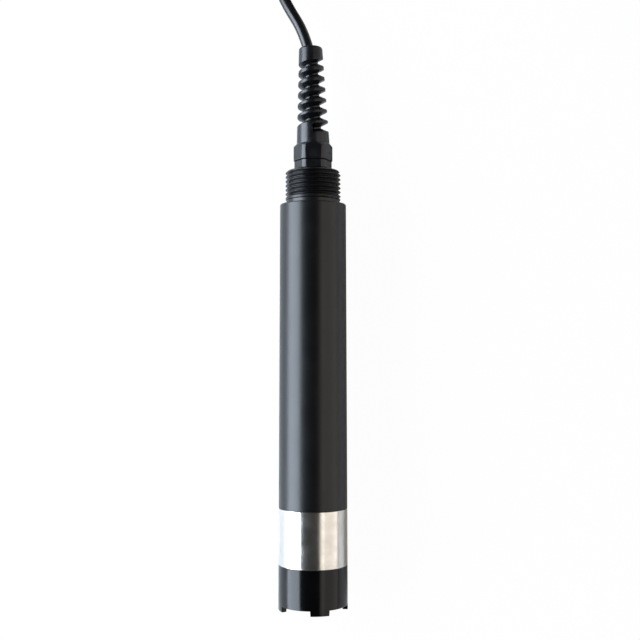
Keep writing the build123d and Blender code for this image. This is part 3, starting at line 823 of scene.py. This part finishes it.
@dataclass
class Gland:
    """Cable gland: washer, body with its hexagon, and nut with the spiral strain relief."""

    layout: Layout
    slip: float = 0.05
    washer_radius: float = 11.2
    washer_bore: float = 7.95
    body_flats: float = 21.0
    body_corner_radius: float = 11.4
    body_chamfer: tuple[tuple[float, float], ...] = ((0.0, 0.5), (0.15, 0.2), (0.5, 0.0))
    chamfer_flat_share: float = 0.4
    thread_radius: float = 7.9
    thread_length: float = 10.0
    thread_chamfer: float = 0.6
    cable_bore: float = 3.95
    barrel_radius: float = 8.9
    barrel_height: float = 8.1
    barrel_room: float = 0.2
    hex_turn: float = 2.2
    hex_ease: float = 0.05
    hex_near: float = 0.7
    nut_flats: float = 22.1
    nut_corner_radius: float = 11.9
    nut_height: float = 10.5
    nut_draft: float = 1.3
    nut_chamfer: float = 0.4
    nut_chamfer_slope: float = 2.0
    foot_rows: tuple[float, ...] = (0.0, 0.12, 0.3, 0.6, 3.0, 6.0, 8.0)
    crown_rows: tuple[float, ...] = (8.6, 8.8, 9.0, 9.2, 9.5, 9.8, 10.1, 10.4, 10.5)
    crown_height: float = 1.9
    crown_overlap: float = 0.1
    relief_length: float = 61.2
    relief_base_radius: float = 10.1
    relief_tip_radius: float = 7.25
    tip_round: float = 1.2
    tip_steps: int = 8
    bore_radius: float = 3.6
    mouth_radius: float = 5.75
    mouth_length: float = 12.5
    mouth_steps: int = 12
    step_radius: float = 7.55
    cone_length: float = 6.3
    slot_pitch: float = 6.83
    slot_turns: float = 6.36
    slot_start: float = 8.8
    slot_root_low: float = 5.05
    slot_root_high: float = 4.15
    slot_root_width: float = 0.8
    slot_slope: float = 0.51
    slot_ease: float = 0.16
    lean: float = 1.5
    lean_place: float = 14.6
    lean_blend: float = 6.0
    relief_first_row: float = 0.05
    rows_per_pitch: int = 26

    def hexagon(self, half: np.ndarray, corner_radius: float, angle: np.ndarray) -> np.ndarray:
        """Radius of a hexagon with turned-off corners, at each place and angle.

        A flat at half-width h is h / cos(a) from the axis, with a the angle from its middle.

        Args:
            half: half the width across flats, one for each row, in metres.
            corner_radius: radius that the corners are turned to.
            angle: angles of the columns.

        Returns:
            Array of rows by columns.
        """
        sixth = TURN / 6
        offset = (angle - math.radians(self.hex_turn) + sixth / 2) % sixth - sixth / 2
        corners = np.full((1, len(angle)), corner_radius * MM)
        return soft_min(half[:, None] / np.cos(offset)[None, :], corners, self.hex_ease * MM)

    def hex_columns(self, flats: float, corner_radius: float) -> np.ndarray:
        """Columns with extra ones where the flats meet the turned-off corners.

        Args:
            flats: width across flats.
            corner_radius: radius that the corners are turned to.

        Returns:
            Angles of the columns.
        """
        reach = math.degrees(math.acos(flats / 2 / corner_radius))
        middles = np.arange(6) * 60 + self.hex_turn
        near = reach + np.array([-1, 0, 1]) * self.hex_near
        extra = middles[:, None, None] + np.array([-1, 1])[:, None] * near
        return columns(HEXAGON_COLUMNS, *extra.ravel())

    def washer(self) -> Piece:
        """Build the sealing washer between the housing and the gland.

        Returns:
            The washer.
        """
        low, high = self.layout.washer, self.layout.gland
        inside, outside = self.washer_bore, self.washer_radius
        outline = eased_outline(
            [(inside, low, CREASE), (outside, low, SOFT), (outside, high, SOFT), (inside, high, CREASE)]
        )
        return self.layout.turned("gland_gasket", outline, NITRILE)

    def body(self) -> Piece:
        """Gland body: threaded stem, hexagon and the barrel inside the nut.

        The hexagon's ends are cut back by the chamfer's (distance from the end, cut) rows, in
        part from the half-width of the flats and for the rest from the radius.

        Returns:
            The gland body.
        """
        low, high = self.layout.gland, self.layout.nut
        stem, barrel = low - self.thread_length, high + self.barrel_height
        inside = eased_outline(
            [
                (self.cable_bore, stem, BROKEN),
                (self.thread_radius, stem, self.thread_chamfer),
                (self.thread_radius, low, SQUARE),
            ]
        )
        outside = eased_outline(
            [
                (self.barrel_radius, high, SQUARE),
                (self.barrel_radius, barrel, SOFT),
                (self.cable_bore, barrel, BROKEN),
            ]
        )
        angle = self.hex_columns(self.body_flats, self.body_corner_radius)
        distance, cut = np.array(self.body_chamfer).T
        place = np.concatenate([low + distance, (high - distance)[::-1]]) * MM
        cut = np.concatenate([cut, cut[::-1]]) * MM
        half = self.body_flats / 2 * MM - self.chamfer_flat_share * cut
        radius = self.hexagon(half, self.body_corner_radius, angle)
        radius = radius - (1 - self.chamfer_flat_share) * cut[:, None]
        hexagon = self.layout.about_axis(radius, place[:, None], angle)
        parts = [self.layout.spun(inside, angle), hexagon, self.layout.spun(outside, angle)]
        return surface("gland_stem", [np.concatenate(parts)], MOULDED_NYLON, crease=MOULDED_CREASE)

    def slot_radius(self, along: np.ndarray, angle: np.ndarray) -> np.ndarray:
        """Radius of the helical slot's V-shaped walls at each place and angle.

        The slot's middle is at start + pitch * t, with t the turns from its start. A wall is
        root + (distance from the middle - half the root's width) / slope, and past either end
        of the slot the distance round the axis is added, which rounds the ends off.

        Args:
            along: places of the rows, in metres.
            angle: angles of the columns.

        Returns:
            Array of rows by columns.
        """
        start = self.layout.nut + self.nut_height + self.slot_start
        turns = (along[:, None] / MM - start) / self.slot_pitch
        around = angle[None, :] / TURN
        strand = np.clip(np.round(turns - around), 0, None)
        here = strand + around
        held = np.clip(here, 0.0, self.slot_turns)
        across = (turns - held) * self.slot_pitch
        past = (here - held) * TURN * self.relief_tip_radius
        distance = np.hypot(across, past)
        root = self.slot_root_low + (self.slot_root_high - self.slot_root_low) * held / self.slot_turns
        return (root + np.maximum(distance - self.slot_root_width / 2, 0.0) / self.slot_slope) * MM

    def nut_radius(self, along: np.ndarray, angle: np.ndarray) -> np.ndarray:
        """Outer radius of the nut and its relief at each place and angle.

        The nut is the least of its drafted hexagon, the cone of its crown and the chamfer at
        its foot. The relief is a straight taper, eased into the slot's walls.

        Args:
            along: places of the rows, in metres.
            angle: angles of the columns.

        Returns:
            Array of rows by columns.
        """
        low, top = self.layout.nut * MM, (self.layout.nut + self.nut_height) * MM
        half = self.nut_flats / 2 * MM - (along - low) * math.tan(math.radians(self.nut_draft))
        hexagon = self.hexagon(half, self.nut_corner_radius, angle)
        slope = (self.nut_corner_radius - self.relief_base_radius) / self.crown_height
        crown_radius = (self.relief_base_radius + slope * self.crown_overlap) * MM
        crown = crown_radius + slope * (top - along)[:, None]
        foot_radius = (self.nut_corner_radius - self.nut_chamfer) * MM
        foot = foot_radius + self.nut_chamfer_slope * (along - low)[:, None]
        nut = np.minimum(np.minimum(hexagon, crown), foot)
        taper = (self.relief_base_radius - self.relief_tip_radius) / self.relief_length
        plain = np.broadcast_to(self.relief_base_radius * MM - taper * (along - top)[:, None], hexagon.shape)
        relief = soft_min(plain, self.slot_radius(along, angle), self.slot_ease * MM)
        return np.where(along[:, None] < top, np.maximum(nut, relief), relief)

    def leaning(self, points: np.ndarray) -> np.ndarray:
        """Turn the relief slightly to the left about a point on the axis, easing in from the nut.

        Args:
            points: array of rows by columns by three.

        Returns:
            The moved points.
        """
        top = (self.layout.nut + self.nut_height) * MM
        pivot = (self.layout.nut + self.lean_place) * MM
        turn = math.radians(self.lean) * smooth_step((points[..., 1] - top) / (self.lean_blend * MM) + 0.5)
        x, y = points[..., 0], points[..., 1] - pivot
        moved = points.copy()
        moved[..., 0] = x * np.cos(turn) - y * np.sin(turn)
        moved[..., 1] = x * np.sin(turn) + y * np.cos(turn) + pivot
        return moved

    def nut(self) -> Piece:
        """Nut with its relief: outer surface, rounded tip, bell mouth, bore and cone.

        Returns:
            The nut.
        """
        top = self.layout.nut + self.nut_height
        tip = top + self.relief_length
        count = int(self.relief_length / self.slot_pitch * self.rows_per_pitch)
        nut_rows = self.layout.nut + np.array(self.foot_rows + self.crown_rows)
        relief_rows = np.linspace(top + self.relief_first_row, tip - self.tip_round, count)
        along = np.concatenate([nut_rows, relief_rows]) * MM
        angle = self.hex_columns(self.nut_flats, self.nut_corner_radius)
        outer = self.layout.about_axis(self.nut_radius(along, angle), along[:, None], angle)
        inner = self.layout.spun(self.inside_rows(tip), angle)
        grid = self.leaning(np.concatenate([outer, inner]))
        return surface("spiral_nut", [grid], MOULDED_NYLON, crease=MOULDED_CREASE)

    def inside_rows(self, tip: float) -> np.ndarray:
        """Rows of the rounded tip, the bell mouth and the bore, down to the nut's open end.

        The tip is a quarter circle, and the mouth opens as the square of the distance.

        Args:
            tip: place of the relief's end.

        Returns:
            Array of (radius, place) rows in metres.
        """
        barrel = self.layout.nut + self.barrel_height + self.barrel_room
        bore = self.barrel_radius + self.slip
        t = np.linspace(0.0, 1.0, self.tip_steps)[1:]
        in_from_edge = self.tip_round * (1 - np.sqrt(1 - t**2))
        tip_rows = np.stack([self.relief_tip_radius - in_from_edge, tip - self.tip_round * (1 - t)], 1)
        t = np.linspace(0.0, 1.0, self.mouth_steps)
        widening = self.mouth_radius - self.bore_radius
        mouth = np.stack([self.bore_radius + widening * (1 - t) ** 2, tip - self.mouth_length * t], 1)
        cone = [(self.bore_radius, barrel + self.cone_length), (self.step_radius, barrel)]
        return np.concatenate([tip_rows, mouth, cone, [(bore, barrel), (bore, self.layout.nut)]]) * MM

    def install(self) -> None:
        """Build the gland's outer pieces in place of their plain nodes."""
        install(self.washer(), Body.PROBE, Slot.SEAL, "gland_washer")
        install(self.body(), Body.PROBE, Slot.GLAND, "gland_body")
        install(self.nut(), Body.PROBE, Slot.GLAND, "gland_nut")


@dataclass
class Cable:
    """The free cable: out of the relief, into a tied hank, and its stripped end on top."""

    diameter: float = 6.9
    length: float = 3.0
    exit: tuple[float, float, float] = (-2.72, 165.33, 20.0)
    route: tuple[tuple[float, float, float], ...] = (
        (-6.03, 177.7, 20.0),
        (-15.98, 195.0, 16.2),
        (-23.48, 214.2, 9.0),
        (-27.18, 234.2, 4.2),
    )
    centre: float = 308.2
    half_run: float = 59.0
    outer_bend: float = 28.0
    inner_bend: float = 21.0
    waist_shift: float = 17.5
    lowest: float = 3.6
    spacing: float = 7.0
    turns: int = 7
    points_per_turn: int = 30
    slots: tuple[tuple[int, int], ...] = ((0, 0), (1, 0), (1, 1), (0, 1), (0, 2), (1, 2), (1, 3), (0, 3))
    tail: tuple[tuple[float, float, float], ...] = (
        (-26.6, -50.0, 25.4),
        (-22.0, -36.0, 30.6),
        (-15.0, -19.0, 32.9),
        (-9.4, -6.0, 33.4),
        (-8.6, 8.0, 33.2),
        (-11.4, 18.0, 32.8),
        (-14.5, 27.0, 32.5),
    )
    tail_point_in_strap: int = 3
    slip: float = 0.05
    strap_lift: float = 1.4
    strap_reach: float = 14.0
    strap_width: float = 16.0
    strap_thickness: float = 1.2
    strap_edge: float = 0.5
    strap_edge_share: float = 0.6
    strap_directions: int = 720
    strap_steps: int = 240
    sleeve_length: float = 16.0
    sleeve_wall: float = 0.5
    sleeve_overrun: float = 5.0
    sleeve_bevel: tuple[float, float] = (0.3, 0.4)
    sleeve_end: tuple[tuple[float, float], ...] = ((0.0, 1.5), (0.5, 0.4), (1.2, 0.0))
    sleeve_grip: tuple[float, float] = (0.8, 1.0)
    lead_radius: float = 0.7
    lead_spread: float = 1.25
    lead_splay: float = 1.1
    lead_length: float = 27.0
    lead_droop: float = 2.6
    lead_droop_share: float = 0.5
    lead_steps: int = 14
    ferrule_radius: float = 1.05
    ferrule_length: float = 8.0
    pin_share: float = 0.62
    pin_start: float = 2.0
    pin_chamfer: float = 0.2
    collar_start: float = -1.2
    collar_end: float = 1.6
    bar_columns: int = 24

    def slot_places(self, turn: np.ndarray) -> tuple[np.ndarray, np.ndarray]:
        """Bend radius and height of the cable after so many turns of the hank.

        The cable keeps each of the slots for a little less than a turn and then moves to the
        next one over a window of a turn / number of moves, so it never meets the turn before.

        Args:
            turn: turns from the start.

        Returns:
            Bend radii and heights in millimetres.
        """
        table = np.array(self.slots, float)
        moves = len(self.slots) - 1
        window = 1 / moves
        middles = 1 - window / 2 + np.arange(moves) * (1 - window)
        order = smooth_step((turn[:, None] - middles[None, :]) / window + 0.5).sum(axis=1)
        number = np.arange(len(self.slots))
        bend = self.outer_bend + (self.inner_bend - self.outer_bend) * np.interp(order, number, table[:, 0])
        return bend, self.lowest + self.spacing * np.interp(order, number, table[:, 1])

    def hank(self) -> np.ndarray:
        """Points of the hank: a racetrack drawn in at its waist, wound slot by slot.

        One turn is the left run, the far bend, the right run and the near bend. On a run the
        distance from the middle line is waist + (bend - waist) * sin^2(pi y / 2L). Near the
        strap the cable is lifted by lift * exp(-(y / reach)^2).

        Returns:
            Array of points in millimetres.
        """
        turn = np.arange(self.turns * self.points_per_turn + 1) / self.points_per_turn
        bend, height = self.slot_places(turn)
        mean = (self.outer_bend + self.inner_bend) / 2
        lap = 4 * self.half_run + TURN * mean
        gone = (turn % 1.0) * lap
        run, fold = 2 * self.half_run, math.pi * mean
        stage = [gone < run, gone < run + fold, gone < 2 * run + fold]
        y_left, y_right = gone - self.half_run, self.half_run - (gone - run - fold)
        far, near = math.pi - (gone - run) / mean, -(gone - 2 * run - fold) / mean
        waist = bend - self.waist_shift
        left, right = (
            waist + (bend - waist) * np.sin(math.pi * y / (2 * self.half_run)) ** 2 for y in (y_left, y_right)
        )
        x = np.select(stage, [-left, bend * np.cos(far), right], bend * np.cos(near))
        y_far, y_near = self.half_run + bend * np.sin(far), -self.half_run + bend * np.sin(near)
        y = np.select(stage, [y_left, y_far, y_right], y_near)
        lift = self.strap_lift * np.exp(-((y / self.strap_reach) ** 2))
        return np.stack([x, y + self.centre, height + lift], axis=1)

    def centreline(self) -> np.ndarray:
        """All control points of the cable, in metres."""
        tail = np.array(self.tail) + (0.0, self.centre, 0.0)
        return np.concatenate([[self.exit], self.route, self.hank(), tail]) * MM

    def jacket(self) -> Piece:
        """The cable itself: a round bar along one smooth spline.

        Returns:
            The cable.
        """
        curve = bpy.data.curves.new("cable", "CURVE")
        curve.dimensions = "3D"
        curve.bevel_depth = self.diameter / 2 * MM
        curve.bevel_resolution = 6
        curve.use_fill_caps = True
        points = self.centreline()
        spline = curve.splines.new("NURBS")
        spline.points.add(len(points) - 1)
        spline.points.foreach_set("co", np.column_stack([points, np.ones(len(points))]).ravel())
        spline.order_u = 3
        spline.use_endpoint_u = True
        spline.resolution_u = 6
        spline.use_smooth = True
        curve.materials.append(EXTRUDED_JACKET.material())
        piece = bpy.data.objects.new("cable", curve)
        bpy.context.scene.collection.objects.link(piece)
        return piece

    def belt(self) -> np.ndarray:
        """Middle line of the strap round the runs of the hank and the tail on them.

        The belt round some discs reaches, in each direction n, to the disc whose centre c and
        radius r make c . n + r largest, and passes through c + r n there.

        Returns:
            Evenly spaced (x, z) rows in millimetres.
        """
        bends, levels = (self.outer_bend, self.inner_bend), 1 + max(level for _, level in self.slots)
        waist = [side * (bend - self.waist_shift) for bend in bends for side in (-1, 1)]
        heights = self.lowest + self.strap_lift + self.spacing * np.arange(levels)
        x, _, z = self.tail[self.tail_point_in_strap]
        discs = np.array([(across, height) for across in waist for height in heights] + [(x, z)])
        direction = np.linspace(0.0, TURN, self.strap_directions + 1)[:-1]
        normal = np.stack([np.sin(direction), np.cos(direction)], axis=1)
        reach = self.diameter / 2 + self.strap_thickness / 2 + self.slip
        belt = discs[np.argmax(discs @ normal.T, axis=0)] + reach * normal
        step = np.linalg.norm(np.roll(belt, -1, axis=0) - belt, axis=1)
        gone = np.concatenate([[0.0], np.cumsum(step)])
        even = np.linspace(0.0, gone[-1], self.strap_steps + 1)[:-1]
        return np.stack([np.interp(even, gone, np.append(belt[:, i], belt[0, i])) for i in (0, 1)], axis=1)

    def strap(self) -> Piece:
        """Strap drawn round the waist of the hank: a flat section carried along the belt.

        The section's height is laid off along the belt's outward normal, its width along Y.

        Returns:
            The strap.
        """
        loop = self.belt()
        ahead = np.roll(loop, -1, axis=0) - np.roll(loop, 1, axis=0)
        ahead /= np.linalg.norm(ahead, axis=1, keepdims=True)
        out = np.stack([-ahead[:, 1], ahead[:, 0]], axis=1)
        half, thick, share = self.strap_width / 2, self.strap_thickness / 2, self.strap_edge_share
        flat = half - self.strap_edge
        top = [(-half, share), (-flat, 1.0), (flat, 1.0), (half, share)]
        section = np.array([(-half, -share), *top, (half, -share), (flat, -1.0), (-flat, -1.0)])
        plane = loop[None, :, :] + section[:, 1][:, None, None] * thick * out[None, :, :]
        y = np.broadcast_to(section[:, 0][:, None] + self.centre, plane.shape[:2])
        grid = np.stack([plane[..., 0], y, plane[..., 1]], axis=-1) * MM
        return surface("hank_strap", [grid], STRAP, crease=WOVEN_CREASE)

    def end_axes(self) -> tuple[np.ndarray, np.ndarray, np.ndarray, np.ndarray]:
        """Frame at the cable's end, from its last two points.

        Returns:
            The end point, the direction ahead and the two directions across it.
        """
        end = np.array(self.tail[-1]) + (0.0, self.centre, 0.0)
        ahead = np.array(self.tail[-1]) - np.array(self.tail[-2])
        ahead /= np.linalg.norm(ahead)
        side = np.cross(ahead, (0.0, 0.0, 1.0))
        side /= np.linalg.norm(side)
        return end, ahead, side, np.cross(side, ahead)

    def bar(self, outline: np.ndarray, shift: tuple[float, float], droop: float, start: float) -> np.ndarray:
        """Grid of a round bar from the cable's end, spreading evenly and drooping as the square.

        Args:
            outline: (radius, distance from the start of the bar) rows in millimetres.
            shift: distances across the cable's end.
            droop: drop at the end of the leads, in millimetres.
            start: distance of the bar's start from the cable's end.

        Returns:
            Array of rows by columns by three, in metres.
        """
        end, ahead, side, up = self.end_axes()
        angle = np.linspace(0.0, TURN, self.bar_columns, endpoint=False)
        gone = start + outline[:, 1]
        reach = np.maximum(gone, 0.0) / (self.lead_length + self.ferrule_length)
        spread = 1 + self.lead_splay * reach
        middle = end + gone[:, None] * ahead + (spread * shift[0])[:, None] * side
        middle = middle + (spread * shift[1])[:, None] * up - (droop * reach**2)[:, None] * (0.0, 0.0, 1.0)
        circle = np.cos(angle)[:, None] * side + np.sin(angle)[:, None] * up
        return (middle[:, None] + outline[:, 0][:, None, None] * circle[None]) * MM

    def sleeve(self) -> Piece:
        """Shrunk sleeve over the end of the jacket, drawn in at its far end.

        Returns:
            The sleeve.
        """
        inner, length = self.diameter / 2 + self.slip, self.sleeve_length
        outer = inner + self.sleeve_wall
        bevel_depth, bevel_length = self.sleeve_bevel
        grip_depth, grip_length = self.sleeve_grip
        near = [(inner, 0.0), (outer - bevel_depth, 0.0), (outer, bevel_length)]
        far = [(outer - less, length - back) for less, back in self.sleeve_end]
        outline = np.array(near + far + [(inner - grip_depth, length), (inner, length - grip_length)])
        grid = self.bar(outline, (0.0, 0.0), 0.0, self.sleeve_overrun - length)
        return surface("end_sleeve", [grid], SHRUNK_SLEEVE)

    def lead_bars(self, outline: np.ndarray, start: float) -> list[np.ndarray]:
        """Four like bars side by side beyond the cable's end, the upper ones drooping more.

        Args:
            outline: (radius, distance) rows in millimetres, from pole to pole.
            start: distance of the bars' start from the cable's end.

        Returns:
            A grid for each bar.
        """
        shifts = [(a * self.lead_spread, b * self.lead_spread) for a in (-1, 1) for b in (-1, 1)]
        droops = [self.lead_droop + self.lead_droop_share * up for _, up in shifts]
        return [self.bar(outline, shift, droop, start) for shift, droop in zip(shifts, droops)]

    def leads(self) -> list[Piece]:
        """The four insulated leads, each in its own colour, from the cable's end to the ferrules.

        Returns:
            The leads.
        """
        steps = np.linspace(0.0, self.lead_length, self.lead_steps)
        along = np.column_stack([np.full(len(steps), self.lead_radius), steps])
        outline = np.concatenate([[(0.0, 0.0)], along, [(0.0, self.lead_length)]])
        looks = {
            "lead_red": RED_PVC,
            "lead_black": BLACK_PVC,
            "lead_green": GREEN_PVC,
            "lead_white": WHITE_PVC,
        }
        bars = self.lead_bars(outline, 0.0)
        return [surface(name, [bar], looks[name], close_rows=False) for name, bar in zip(looks, bars)]

    def ferrules(self) -> Piece:
        """Crimped ferrules: a collar over the insulation and a thinner tube beyond it.

        Returns:
            The four ferrules.
        """
        collar, end = self.ferrule_radius, self.ferrule_length
        pin = self.pin_share * collar
        crimp = [(0.0, self.collar_start), (collar, self.collar_start), (collar, self.collar_end)]
        tube = [(pin, self.pin_start), (pin, end - self.pin_chamfer), (0.0, end)]
        bars = self.lead_bars(np.array(crimp + tube), self.lead_length)
        return surface("end_ferrules", bars, TINNED_COPPER, close_rows=False)

    def install(self) -> None:
        """Build the cable, its strap and its stripped end in place of their plain nodes."""
        strap, sleeve, ferrules = self.strap(), self.sleeve(), self.ferrules()
        leads, cable = self.leads(), self.jacket()
        install(strap, Body.PROBE, Slot.TIE, "hank_tie")
        install(sleeve, Body.PROBE, Slot.SLEEVE, "tail_sleeve")
        for lead in leads:
            install(lead, Body.PROBE, Slot.LEAD, "lead_wires")
        install(ferrules, Body.PROBE, Slot.FERRULE, "lead_ferrules")
        install(cable, Body.PROBE, Slot.JACKET, "free_cable", "cable_hank", "cable_tail")


@dataclass
class InsideParts:
    """Finishes of the pieces inside the probe, which keep their plain shapes."""

    groups: tuple[tuple[Finish, str], ...] = (
        (GREASED_ACETAL, "sensor_core"),
        (NITRILE, "band_seals core_seals cap_seal guard_ring gland_seal"),
        (MOULDED_NYLON, "gland_cage"),
        (EXTRUDED_JACKET, "held_cable"),
        (CLEAR_WINDOW, "optical_window"),
        (SOLDER_MASK, "optics_board main_board"),
        (CAST_EPOXY, "excitation_led reference_led"),
        (MOULDED_EPOXY, "photodiode processor_chip transceiver_chip power_inductor"),
        (IVORY_NYLON, "optics_socket flex_socket"),
        (GREEN_NYLON, "terminal_block"),
        (GREY_ABS, "board_sled"),
        (AMBER_FILM, "flex_strip"),
        (DRAWN_STAINLESS, "temperature_probe"),
        (DRAWN_ALUMINIUM, "capacitors"),
        (RED_PVC, "supply_wire"),
        (BLACK_PVC, "ground_wire"),
        (GREEN_PVC, "data_wire_plus"),
        (WHITE_PVC, "data_wire_minus"),
    )

    def install(self) -> None:
        """Give every piece that keeps its plain shape its finish."""
        for finish, nodes in self.groups:
            for node in nodes.split():
                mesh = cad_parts[node].data
                mesh.materials.clear()
                mesh.materials.append(finish.material())
                LOG.info("%s keeps its plain shape, in %s", node, finish.name)


@dataclass(frozen=True)
class Lamp:
    """A long flat lamp beside the probe, aimed at its axis."""

    name: str
    angle: float
    spread: float
    distance: float
    radiance: float
    colour: str
    length: float = 1.0

    def place(self, axis: Vector) -> None:
        """Hang the lamp; its power is radiance * pi * area.

        Args:
            axis: the point of the axis that it is aimed at.
        """
        width = 2 * self.distance * math.tan(math.radians(self.spread / 2))
        light = bpy.data.lights.new(self.name, "AREA")
        light.shape = "RECTANGLE"
        light.size = width
        light.size_y = self.length
        light.energy = self.radiance * math.pi * width * self.length
        light.color = linear(self.colour)[:3]
        lamp = bpy.data.objects.new(self.name, light)
        turn = math.radians(self.angle)
        lamp.location = axis + Vector((math.sin(turn), 0.0, math.cos(turn))) * self.distance
        lamp.rotation_euler = (0.0, turn, 0.0)
        bpy.context.scene.collection.objects.link(lamp)


@dataclass
class Studio:
    """Pale floor, soft lamps, a dim ceiling over the probe and the camera."""

    layout: Layout
    floor_size: float = 6.0
    floor_colour: str = "F4F4F4"
    floor_glow: float = 0.97
    ceiling: float = 0.04
    ceiling_edge: float = 0.45
    walls: float = 0.35
    walls_top: float = 0.1
    lamps: tuple[Lamp, ...] = (
        Lamp("cool_softbox", -67.75, 46.5, 0.7, 10.2, "E3F0FF"),
        Lamp("warm_softbox", 55.5, 65.0, 0.8, 1.08, "FFF6ED"),
        Lamp("slim_strip", 33.0, 8.0, 0.6, 0.5, "F0FFF4"),
    )
    focal_length: float = 57.79
    sensor: float = 36.0
    distance: float = 617.38
    station: float = -26.0
    tilt: float = 8.104
    shift_x: float = 0.0109
    shift_y: float = -0.1637
    nearest: float = 10.0

    def floor(self) -> None:
        """Pale floor that shows nearly white, with a faint shadow."""
        half = self.floor_size / 2
        mesh = bpy.data.meshes.new("floor")
        corners = [(-half, -half, 0), (half, -half, 0), (half, half, 0), (-half, half, 0)]
        mesh.from_pydata(corners, [], [(0, 1, 2, 3)])
        floor = bpy.data.objects.new("floor", mesh)
        bpy.context.scene.collection.objects.link(floor)
        material = bpy.data.materials.new("pale_floor")
        material.use_nodes = True
        tree = material.node_tree
        tree.nodes.clear()
        share = {0: self.seen(tree), 1: self.floor_glow}
        glowing = add_node(tree, "Math", share, operation="MULTIPLY").outputs[0]
        matt = add_node(tree, "BsdfDiffuse", {"Color": linear(self.floor_colour)}).outputs[0]
        glow = add_node(tree, "Emission", {"Color": linear("FFFFFF"), "Strength": 1.0}).outputs[0]
        mix = add_node(tree, "MixShader", {0: glowing, 1: matt, 2: glow}).outputs[0]
        add_node(tree, "OutputMaterial", {"Surface": mix})
        mesh.materials.append(material)

    def seen(self, tree: Tree) -> Socket:
        """One where a camera or transmission ray arrives, and zero elsewhere.

        Args:
            tree: the node tree that gets the nodes.

        Returns:
            The socket with that value.
        """
        path = add_node(tree, "LightPath").outputs
        both = {0: path["Is Camera Ray"], 1: path["Is Transmission Ray"]}
        return add_node(tree, "Math", both, operation="MAXIMUM").outputs[0]

    def world(self) -> None:
        """White walls round a dim ceiling, and plain white where the camera sees past the floor."""
        world = bpy.data.worlds.new("studio")
        bpy.context.scene.world = world
        world.use_nodes = True
        tree = world.node_tree
        tree.nodes.clear()
        place = add_node(tree, "TexCoord").outputs["Generated"]
        height = add_node(tree, "SeparateXYZ", {0: place}).outputs["Z"]
        fade = {"Value": height, "From Min": self.walls_top, "From Max": self.ceiling_edge}
        fade |= {"To Min": self.walls, "To Max": self.ceiling}
        dim = add_node(tree, "MapRange", fade).outputs["Result"]
        camera = add_node(tree, "LightPath").outputs["Is Camera Ray"]
        strength = add_node(tree, "Mix", {0: camera, 2: dim, 3: 1.0}).outputs[0]
        light = {"Color": linear("FFFFFF"), "Strength": strength}
        background = add_node(tree, "Background", light).outputs[0]
        add_node(tree, "OutputWorld", {"Surface": background})

    def camera(self) -> None:
        """Camera over the probe, tilted towards its cable end."""
        data = bpy.data.cameras.new("camera")
        data.lens = self.focal_length
        data.sensor_width = self.sensor
        data.shift_x = self.shift_x
        data.shift_y = self.shift_y
        data.clip_start = self.nearest * MM
        camera = bpy.data.objects.new("camera", data)
        camera.location = (0.0, self.station * MM, (self.layout.axis_height + self.distance) * MM)
        camera.rotation_euler = (math.radians(self.tilt), 0.0, 0.0)
        bpy.context.scene.collection.objects.link(camera)
        bpy.context.scene.camera = camera

    def install(self) -> None:
        """Set the stage, the lamps, the world and the camera."""
        bpy.context.scene.view_settings.view_transform = "Standard"
        self.floor()
        self.world()
        self.camera()
        for lamp in self.lamps:
            lamp.place(Vector((0.0, self.station * MM, self.layout.axis_height * MM)))
        LOG.info("studio with %d lamps", len(self.lamps))


def main() -> None:
    """Build and dress the whole probe."""
    logging.basicConfig(level=logging.INFO, format="%(name)s: %(message)s")
    layout = Layout.from_frame()
    Studio(layout).install()
    Cable().install()
    Housing(layout).install()
    SteelBand(layout).install()
    GuardCap(layout).install()
    SensingEnd(layout).install()
    Gland(layout).install()
    InsideParts().install()


if __name__ == "__main__":
    main()
